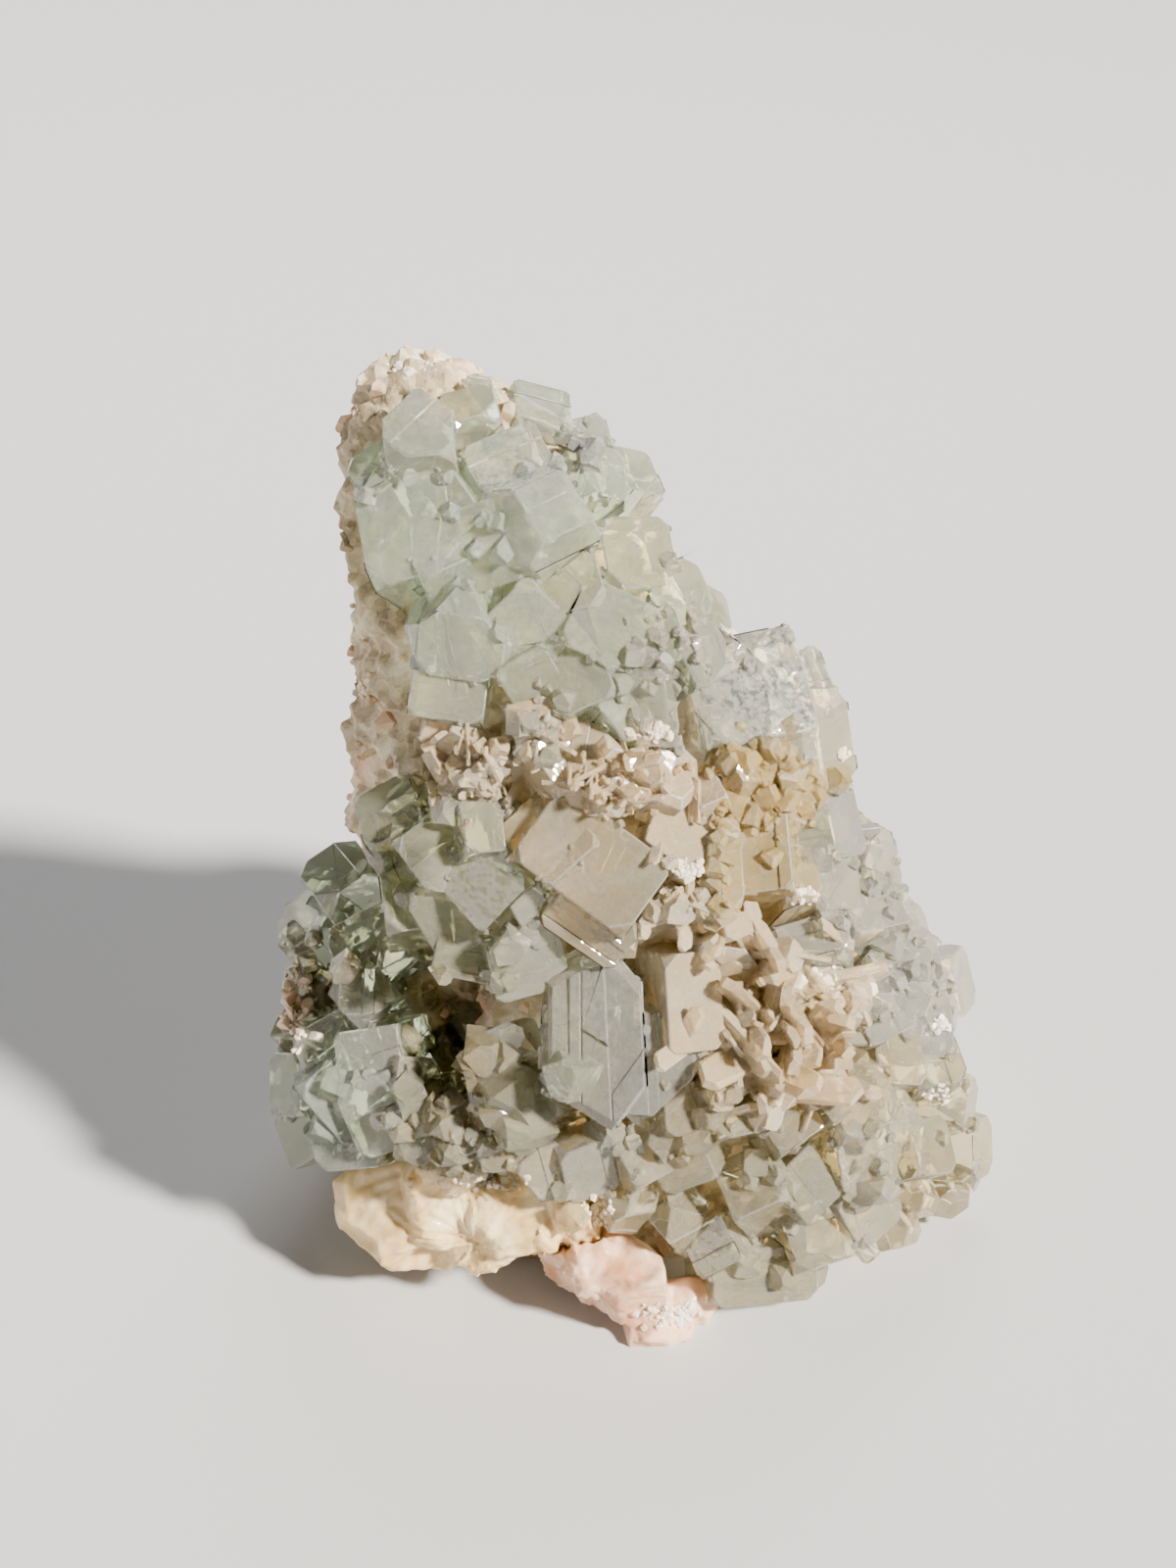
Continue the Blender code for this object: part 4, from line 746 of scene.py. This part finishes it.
def standing_tree():
    """Geometry nodes: stands a form on each vertex, its top along the attribute out."""
    tree = bpy.data.node_groups.new("stand_on_points", "GeometryNodeTree")
    tree.is_modifier = True
    face = tree.interface
    face.new_socket("Geometry", in_out="INPUT", socket_type="NodeSocketGeometry")
    for name, kind, value in (("Forms", "NodeSocketCollection", None), ("Smallest", "NodeSocketFloat", 1.0),
                              ("Largest", "NodeSocketFloat", 3.0), ("Lean", "NodeSocketFloat", 0.6),
                              ("Seed", "NodeSocketInt", 1), ("Finish", "NodeSocketMaterial", None)):
        socket = face.new_socket(name, in_out="INPUT", socket_type=kind)
        if value is not None:
            socket.default_value = value
    face.new_socket("Geometry", in_out="OUTPUT", socket_type="NodeSocketGeometry")
    entry = tree.nodes.new("NodeGroupInput")
    leave = tree.nodes.new("NodeGroupOutput")

    out = put(tree, "GeometryNodeInputNamedAttribute", {"data_type": "FLOAT_VECTOR"}, Name="out")
    upright = tree.nodes.new("FunctionNodeAlignRotationToVector")
    link(tree, out.outputs["Attribute"], upright.inputs["Vector"])

    turn = put(tree, "FunctionNodeRandomValue", {"data_type": "FLOAT_VECTOR"})
    swing = tree.nodes.new("ShaderNodeCombineXYZ")
    other_way = times(tree, entry.outputs["Lean"], -1.0)
    lowest = tree.nodes.new("ShaderNodeCombineXYZ")
    for axis in "XY":
        link(tree, other_way, lowest.inputs[axis])
        link(tree, entry.outputs["Lean"], swing.inputs[axis])
    swing.inputs["Z"].default_value = math.tau
    link(tree, lowest.outputs["Vector"], turn.inputs["Min"])
    link(tree, swing.outputs["Vector"], turn.inputs["Max"])
    link(tree, entry.outputs["Seed"], turn.inputs["Seed"])
    as_turn = tree.nodes.new("FunctionNodeEulerToRotation")
    link(tree, turn.outputs["Value"], as_turn.inputs["Euler"])
    turned = put(tree, "FunctionNodeRotateRotation", {"rotation_space": "LOCAL"})
    link(tree, upright.outputs["Rotation"], turned.inputs["Rotation"])
    link(tree, as_turn.outputs["Rotation"], turned.inputs["Rotate By"])

    few_large = combine(tree, "POWER", chance(tree, entry.outputs["Seed"]), FEW_LARGE)
    scale = tree.nodes.new("ShaderNodeMapRange")
    link(tree, few_large, scale.inputs["Value"])
    link(tree, entry.outputs["Smallest"], scale.inputs["To Min"])
    link(tree, entry.outputs["Largest"], scale.inputs["To Max"])

    shelf = put(tree, "GeometryNodeCollectionInfo", {"transform_space": "ORIGINAL"})
    shelf.inputs["Separate Children"].default_value = True
    shelf.inputs["Reset Children"].default_value = True
    link(tree, entry.outputs["Forms"], shelf.inputs["Collection"])
    stand = tree.nodes.new("GeometryNodeInstanceOnPoints")
    stand.inputs["Pick Instance"].default_value = True
    link(tree, entry.outputs["Geometry"], stand.inputs["Points"])
    link(tree, shelf.outputs["Instances"], stand.inputs["Instance"])
    link(tree, turned.outputs["Rotation"], stand.inputs["Rotation"])
    link(tree, scale.outputs["Result"], stand.inputs["Scale"])

    keep = put(tree, "GeometryNodeStoreNamedAttribute", {"data_type": "FLOAT", "domain": "INSTANCE"},
               Name="tone")
    link(tree, stand.outputs["Instances"], keep.inputs["Geometry"])
    link(tree, chance(tree), [s for s in keep.inputs if s.name == "Value" and s.type == "VALUE"][0])
    solid = tree.nodes.new("GeometryNodeRealizeInstances")
    link(tree, keep.outputs["Geometry"], solid.inputs["Geometry"])
    finish = tree.nodes.new("GeometryNodeSetMaterial")
    link(tree, solid.outputs["Geometry"], finish.inputs["Geometry"])
    link(tree, entry.outputs["Finish"], finish.inputs["Material"])
    link(tree, finish.outputs["Geometry"], leave.inputs["Geometry"])
    return tree


STANDING = standing_tree()
print("tree:", STANDING.name, len(STANDING.nodes), "nodes")

# %% Small forms made plain
USUAL_LEAN, PATCH_LEAN, GRAIN_LEAN = 0.6, 0.9, 1.2


def plain_mesh(made):
    """Puts the mesh that an object's modifiers make in place of its own, and takes them off."""
    graph = bpy.context.evaluated_depsgraph_get()
    mesh = bpy.data.meshes.new_from_object(made.evaluated_get(graph))
    made.modifiers.clear()
    made.data = mesh
    return mesh


def stand_forms(points, name, forms, sizes, finish, seed, lean=USUAL_LEAN):
    """Plain mesh piece of small forms on (place, out) points; sizes are the least and greatest, in mm."""
    mesh = bpy.data.meshes.new(name)
    mesh.from_pydata([place for place, _ in points], [], [])
    out = mesh.attributes.new("out", "FLOAT_VECTOR", "POINT")
    out.data.foreach_set("vector", [part for _, way in points for part in way])
    values = [zone_values(place, way) for place, way in points]
    for which, value_name in enumerate(FACET_VALUES):
        layer = mesh.attributes.new(value_name, "FLOAT", "POINT")
        layer.data.foreach_set("value", [row[which] for row in values])
    made = add_object(name, mesh)
    change = made.modifiers.new("forms", "NODES")
    change.node_group = STANDING
    values = {"Forms": forms, "Smallest": sizes[0], "Largest": sizes[1],
              "Lean": lean, "Seed": seed, "Finish": finish}
    for socket in STANDING.interface.items_tree:
        if socket.in_out == "INPUT" and socket.name in values:
            change[socket.identifier] = values[socket.name]
    realized = plain_mesh(made)
    realized.name = name
    for vert in realized.vertices:
        vert.co.z = max(vert.co.z, 0.0)
    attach(made, "root")
    triangles = sum(len(p.vertices) - 2 for p in realized.polygons)
    print(name, len(points), "small crystals,", triangles, "triangles")


# %% Places on the growths
NEIGHBOUR_REACH = 0.7 * MM
OPEN_START = 0.35 * MM
OPEN_REACH = 5.0 * MM
OPEN_FLOOR = 1.2 * MM
surfaces = {}
for node in frame["nodes"]:
    bm = merged_copy(node)
    surfaces[node] = BVHTree.FromBMesh(bm)
    bm.free()
print("surfaces to place small crystals on:", len(surfaces))


def under_frame(across, down):
    """First surface on the line of sight through a place in the frame: (place, normal), or None."""
    aside = VIEW_RIGHT * (across - FRAME_WIDE / 2) - VIEW_UP * (down - FRAME_TALL / 2)
    ray = (VIEW_AWAY * FOCAL + aside).normalized()
    nearest = None
    for surface in surfaces.values():
        place, normal, _, distance = surface.ray_cast(EYE, ray)
        if place is not None and (nearest is None or distance < nearest[2]):
            nearest = (place, normal, distance)
    return nearest and nearest[:2]


def near_other(node, place):
    """Whether another growth's surface lies close to a place."""
    return any(surface.find_nearest(place, NEIGHBOUR_REACH)[0] is not None
               for other, surface in surfaces.items() if other != node)


def open_air(place, way):
    """Whether a point stands free: nothing lies over it within a few millimetres."""
    start = place + way * OPEN_START
    covered = any(surface.ray_cast(start, way, OPEN_REACH)[0] is not None for surface in surfaces.values())
    return place.z > OPEN_FLOOR and not covered


def scattered(faces, wanted, rng, scale, least):
    """Random open places on faces, kept in the drifts where a noise of that scale is over least."""
    points = []
    for face in rng.choices(faces, weights=[f.calc_area() for f in faces], k=wanted):
        first, second = sorted((rng.random(), rng.random()))
        shares = (first, second - first, 1 - second)
        place = sum((vert.co * share for vert, share in zip(face.verts, shares)), Vector())
        if noise.noise(place / MM * scale) > least and open_air(place, face.normal):
            points.append((place, face.normal.copy()))
    return points


# %% Seams
SEAM_ANGLE = math.radians(-18.0)


def seam_points(node, spacing, rng):
    """Places along the seams of a growth, each with the way that a small crystal faces there."""
    bm = merged_copy(node)
    found = []
    for edge in bm.edges:
        if len(edge.link_faces) != 2:
            continue
        first, second = (v.co for v in edge.verts)
        count = int(edge.calc_length() / spacing + rng.random())
        if not count:
            continue
        inward = edge.calc_face_angle_signed(0.0) < SEAM_ANGLE
        way = (edge.link_faces[0].normal + edge.link_faces[1].normal).normalized()
        for k in range(count):
            place = first.lerp(second, (k + rng.random()) / count)
            if (inward or near_other(node, place)) and open_air(place, way):
                found.append((place.copy(), way.copy()))
    bm.free()
    return found


# %% [markdown]
# ## The rock
# The rock shows at the summit knob, along the left edge and at the back: a crumbly, granular mass. Its
# solid gives the broad ledges. Finer relief could be a bump map, but it would vanish in outline, so the
# mesh is made anew from even squares under a millimetre wide, and its points are moved out and in by
# noise. The flat cut underneath stays flat.

# %% Relief tools
FLOOR_KEEP = 0.6 * MM
SALMON_SHARE = 3.4


def even_mesh(made, edge):
    """Gives an object an even mesh of small squares in place of its own."""
    change = made.modifiers.new("even", "REMESH")
    change.mode = "VOXEL"
    change.voxel_size = edge
    return plain_mesh(made)


def relief_piece(node, finish, edge, rise, pattern, sharp):
    """Even copy of a node, its points moved along their normals by pattern; sharp is in degrees."""
    made = piece_from(merged_copy(node), node + "_relief", finish)
    mesh = even_mesh(made, edge)
    ways = [v.normal.copy() for v in mesh.vertices]
    lows = [pattern(v.co) for v in mesh.vertices]
    moved = [v.co + way * rise * low if v.co.z > FLOOR_KEEP else Vector((v.co.x, v.co.y, 0.0))
             for v, way, low in zip(mesh.vertices, ways, lows)]
    above = [part for place in moved for part in (place.x, place.y, max(place.z, 0.0))]
    mesh.vertices.foreach_set("co", above)
    zones = [zone_values(place, way)[0] for place, way in zip(moved, ways)]
    warm = [max(0.0, SALMON_SHARE * (zone - 1.0) + 1.0) for zone in zones]
    rims = [min(max(1.3 * low - 0.35, 0.0), 1.0) for low in lows]
    for name, values in (("warm", warm), ("rim", rims)):
        mesh.attributes.new(name, "FLOAT", "POINT").data.foreach_set("value", values)
    mesh.shade_smooth()
    mesh.set_sharp_from_angle(angle=math.radians(sharp))
    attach(made, "root")
    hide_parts(node)
    print(made.name, len(mesh.polygons), "faces")


# %% Rock relief
ROCK_EDGE = 0.6 * MM
ROCK_RELIEF = 0.8 * MM


def rock_pattern(place):
    """Crumbly ledges with grains on them."""
    ledge = noise.fractal(place / MM * 0.35, 0.7, 2.1, 5)
    grain = noise.voronoi(place / MM * 0.55)[0][0] - 0.45
    return 0.8 * ledge - 1.3 * grain


relief_piece("matrix", ROCK, ROCK_EDGE, ROCK_RELIEF, rock_pattern, 30)

# %% [markdown]
# ## Silky fans and the pink blade
# Stilbite grows in sheaves: thin fibres spread from one root and end in a ruffled, lobed edge. Each fibre
# could be a thin blade, but they are grown together here and only their ends and ridges show. So the
# solids get the same even mesh as the rock, with a finer relief whose noise is stretched along the lines
# that leave the nearest root.

# %% Fans and pink blade
FAN_EDGE = 0.32 * MM
FAN_RELIEF = 0.42 * MM
PINK_RELIEF = 0.7 * FAN_RELIEF
ROOT_DEEP = 5 * MM
ROOT_SPOTS = ((466, 1188), (484, 1252), (600, 1282))
FAN_ROOTS = [under_frame(*spot)[0] + VIEW_AWAY * ROOT_DEEP for spot in ROOT_SPOTS]


def silk_pattern(place):
    """Fibres that fan out from the nearest root, low lobes across them, and a ruffled edge."""
    root = min(FAN_ROOTS, key=lambda spot: (place - spot).length)
    away = (place - root) / MM
    turn = math.atan2(away.x, -away.z) * 9.0
    fibre = noise.noise(Vector((turn * 1.6, away.length * 0.10, away.y * 0.12)))
    lobe = noise.noise(Vector((turn * 0.35, away.length * 0.28, away.y * 0.2)))
    return 0.7 * fibre + 1.1 * lobe + 0.3 * noise.noise(place / MM * 0.9)


relief_piece("stilbite_fans", SILK, FAN_EDGE, FAN_RELIEF, silk_pattern, 60)
relief_piece("pink_stilbite", PINK, FAN_EDGE, PINK_RELIEF, silk_pattern, 60)

# %% [markdown]
# ## Grains on the rock
# The rock is a crust of broken and rounded grains. Relief alone can't undercut, so loose-looking grains
# stand on it too. They are scattered over its triangles by area, where nothing lies over them, and they
# gather in drifts, because a slow noise decides where any stand.

# %% Grains
GRAINS_WANTED = 2600
rock_mesh = merged_copy("matrix")
bmesh.ops.triangulate(rock_mesh, faces=rock_mesh.faces)
grain_points = scattered(list(rock_mesh.faces), GRAINS_WANTED, random.Random(4), 0.3, -0.15)
stand_forms(grain_points, "matrix_grains", GRAINS, (0.5, 2.4), ROCK, seed=8, lean=GRAIN_LEAN)

# %% [markdown]
# ## Rows along the seams
# Every growth gets small crystals of its own kind and finish in its seams. One size for all would look
# sown, so each growth has its own sizes and spacing. The base, where the seams are open, has larger ones,
# and the large single crystals have smaller ones, so that their faces stay clear.

# %% Small crystals of each growth
# each row is a growth, its forms, their least and greatest sizes and their spacing, in millimetres
SEAM_ROWS = (
    ("summit_apophyllite", BLOCKS, (0.4, 2.2), 5.0),
    ("shoulder_crystal", BLOCKS, (0.4, 1.6), 4.0),
    ("tabular_crystal", BLOCKS, (0.4, 1.4), 4.0),
    ("stepped_crystal", BLOCKS, (0.4, 1.6), 4.0),
    ("left_apophyllite", BLOCKS, (0.6, 3.2), 4.0),
    ("lower_left_apophyllite", BLOCKS, (0.6, 3.2), 4.0),
    ("right_apophyllite", BLOCKS, (0.6, 3.2), 3.6),
    ("cream_apophyllite", BLOCKS, (0.8, 3.4), 3.4),
    ("front_base_apophyllite", BLOCKS, (0.8, 3.4), 3.6),
    ("right_base_apophyllite", BLOCKS, (0.8, 3.4), 3.6),
    ("back_apophyllite", BLOCKS, (1.0, 5.0), 2.4),
    ("back_left_apophyllite", BLOCKS, (1.0, 5.0), 2.4),
    ("amber_stilbite", GRAINS, (0.6, 2.6), 2.0),
    ("stilbite_band", JUMBLE, (0.8, 3.4), 2.4),
    ("stilbite_sprays", JUMBLE, (1.0, 3.8), 2.4),
)
finish_of = {node: (slot, finish) for node, slot, finish, _ in GROWTHS}
for seed, (node, forms, sizes, spacing) in enumerate(SEAM_ROWS):
    points = seam_points(node, spacing * MM, random.Random(seed))
    slot, finish = finish_of[node]
    if points:
        stand_forms(points, node + "_small", forms, sizes, finish, seed=seed)

# %% [markdown]
# ## Crystals on the far side
# The frame shows one side only. A real cluster of this kind carries scattered crystals all round, so the
# rock's far side gets some too. They could cover all of it, but they would then show past the edges. So
# only faces turned well away from the view carry them, and none near the top, which keeps the outline
# that the photograph shows.

# %% Scattered crystals
BACK_WANTED = 360
BACK_FACING = 0.3
BACK_TOP = 84 * MM
far_faces = [f for f in rock_mesh.faces if f.normal.y > BACK_FACING and f.calc_center_median().z < BACK_TOP]
back_points = scattered(far_faces, BACK_WANTED, random.Random(14), 0.09, 0.12)
rock_mesh.free()
stand_forms(back_points, "back_scattered_crystals", BLOCKS, (1.0, 5.5), GREEN, seed=15)

# %% [markdown]
# ## Patches of fine crystals
# White sugary druse, a pinkish granular ridge and bladed crusts lie on the big crystals in a few places.
# Each could be painted on by hand, but a patch is one row here: its name, finish, slot, forms and sizes
# in millimetres, then the places where it is seen. A line of sight through the frame finds the crystal
# under every small form, so a patch follows the facets it lies on.

# %% Patches
LOWEST_PATCH = 1.0 * MM
PATCH_SEED = 60
# each place is how far across and down the frame, how wide and tall there, and how many forms
PATCHES = (
    ("white_druse", WHITE, "matrix_rock", GRAINS, (0.35, 1.1),
     ((422, 374, 30, 6, 30), (662, 746, 28, 10, 60), (368, 705, 8, 10, 20), (822, 914, 12, 9, 14),
      (964, 1046, 18, 8, 30), (700, 888, 14, 10, 40), (510, 1206, 40, 7, 40), (690, 1340, 34, 14, 80),
      (610, 1240, 18, 20, 30), (955, 1115, 16, 10, 24), (860, 772, 6, 8, 10), (300, 1000, 14, 12, 30))),
    ("pinkish_granular_ridge", WHITE, "peach_stilbite", JUMBLE, (0.4, 1.8),
     ((846, 1008, 42, 18, 90), (300, 1040, 22, 34, 40))),
    ("peach_druse", PEACH, "peach_stilbite", JUMBLE, (0.5, 2.2),
     ((480, 786, 54, 36, 120), (704, 926, 44, 24, 30))),
    ("fine_blades", PEACH, "peach_stilbite", LATHS, (0.8, 3.0),
     ((630, 790, 70, 40, 70),)),
    # darker copy of the green finish: painted shade on the crystals in the hollow
    ("hollow_crystals", GREEN_IN_PAINTED_SHADE, "green_apophyllite", BLOCKS, (1.6, 5.6),
     ((470, 1080, 76, 100, 50),)),
    ("hollow_druse", CREAM, "cream_apophyllite", BLOCKS, (0.8, 3.2),
     ((480, 1150, 90, 50, 24), (325, 990, 24, 50, 20), (760, 1150, 90, 60, 14), (900, 1200, 60, 60, 10),
      (650, 1190, 60, 40, 12))),
    ("spray_blades", PEACH, "peach_stilbite", LATHS, (2.4, 6.4),
     ((800, 1035, 70, 70, 70), (760, 1090, 60, 40, 16))),
    ("honey_bumps", AMBER, "amber_stilbite", GRAINS, (0.9, 3.6),
     ((780, 805, 54, 56, 90), (732, 885, 12, 50, 26))),
    ("clear_glints", CLEAR, "clear_apophyllite", BLOCKS, (0.5, 2.0),
     ((550, 750, 26, 46, 24), (690, 665, 46, 44, 34), (592, 455, 22, 24, 30),
      (930, 1000, 46, 40, 24), (900, 900, 34, 60, 24))),
)

for seed, (name, finish, slot, forms, sizes, rows) in enumerate(PATCHES):
    rng = random.Random(PATCH_SEED + seed)
    points = []
    for across, down, wide, tall, count in rows:
        for _ in range(count):
            found = under_frame(rng.gauss(across, wide / 2), rng.gauss(down, tall / 2))
            if found and found[0].z > LOWEST_PATCH:
                points.append(found)
    stand_forms(points, name, forms, sizes, finish, seed=seed, lean=PATCH_LEAN)
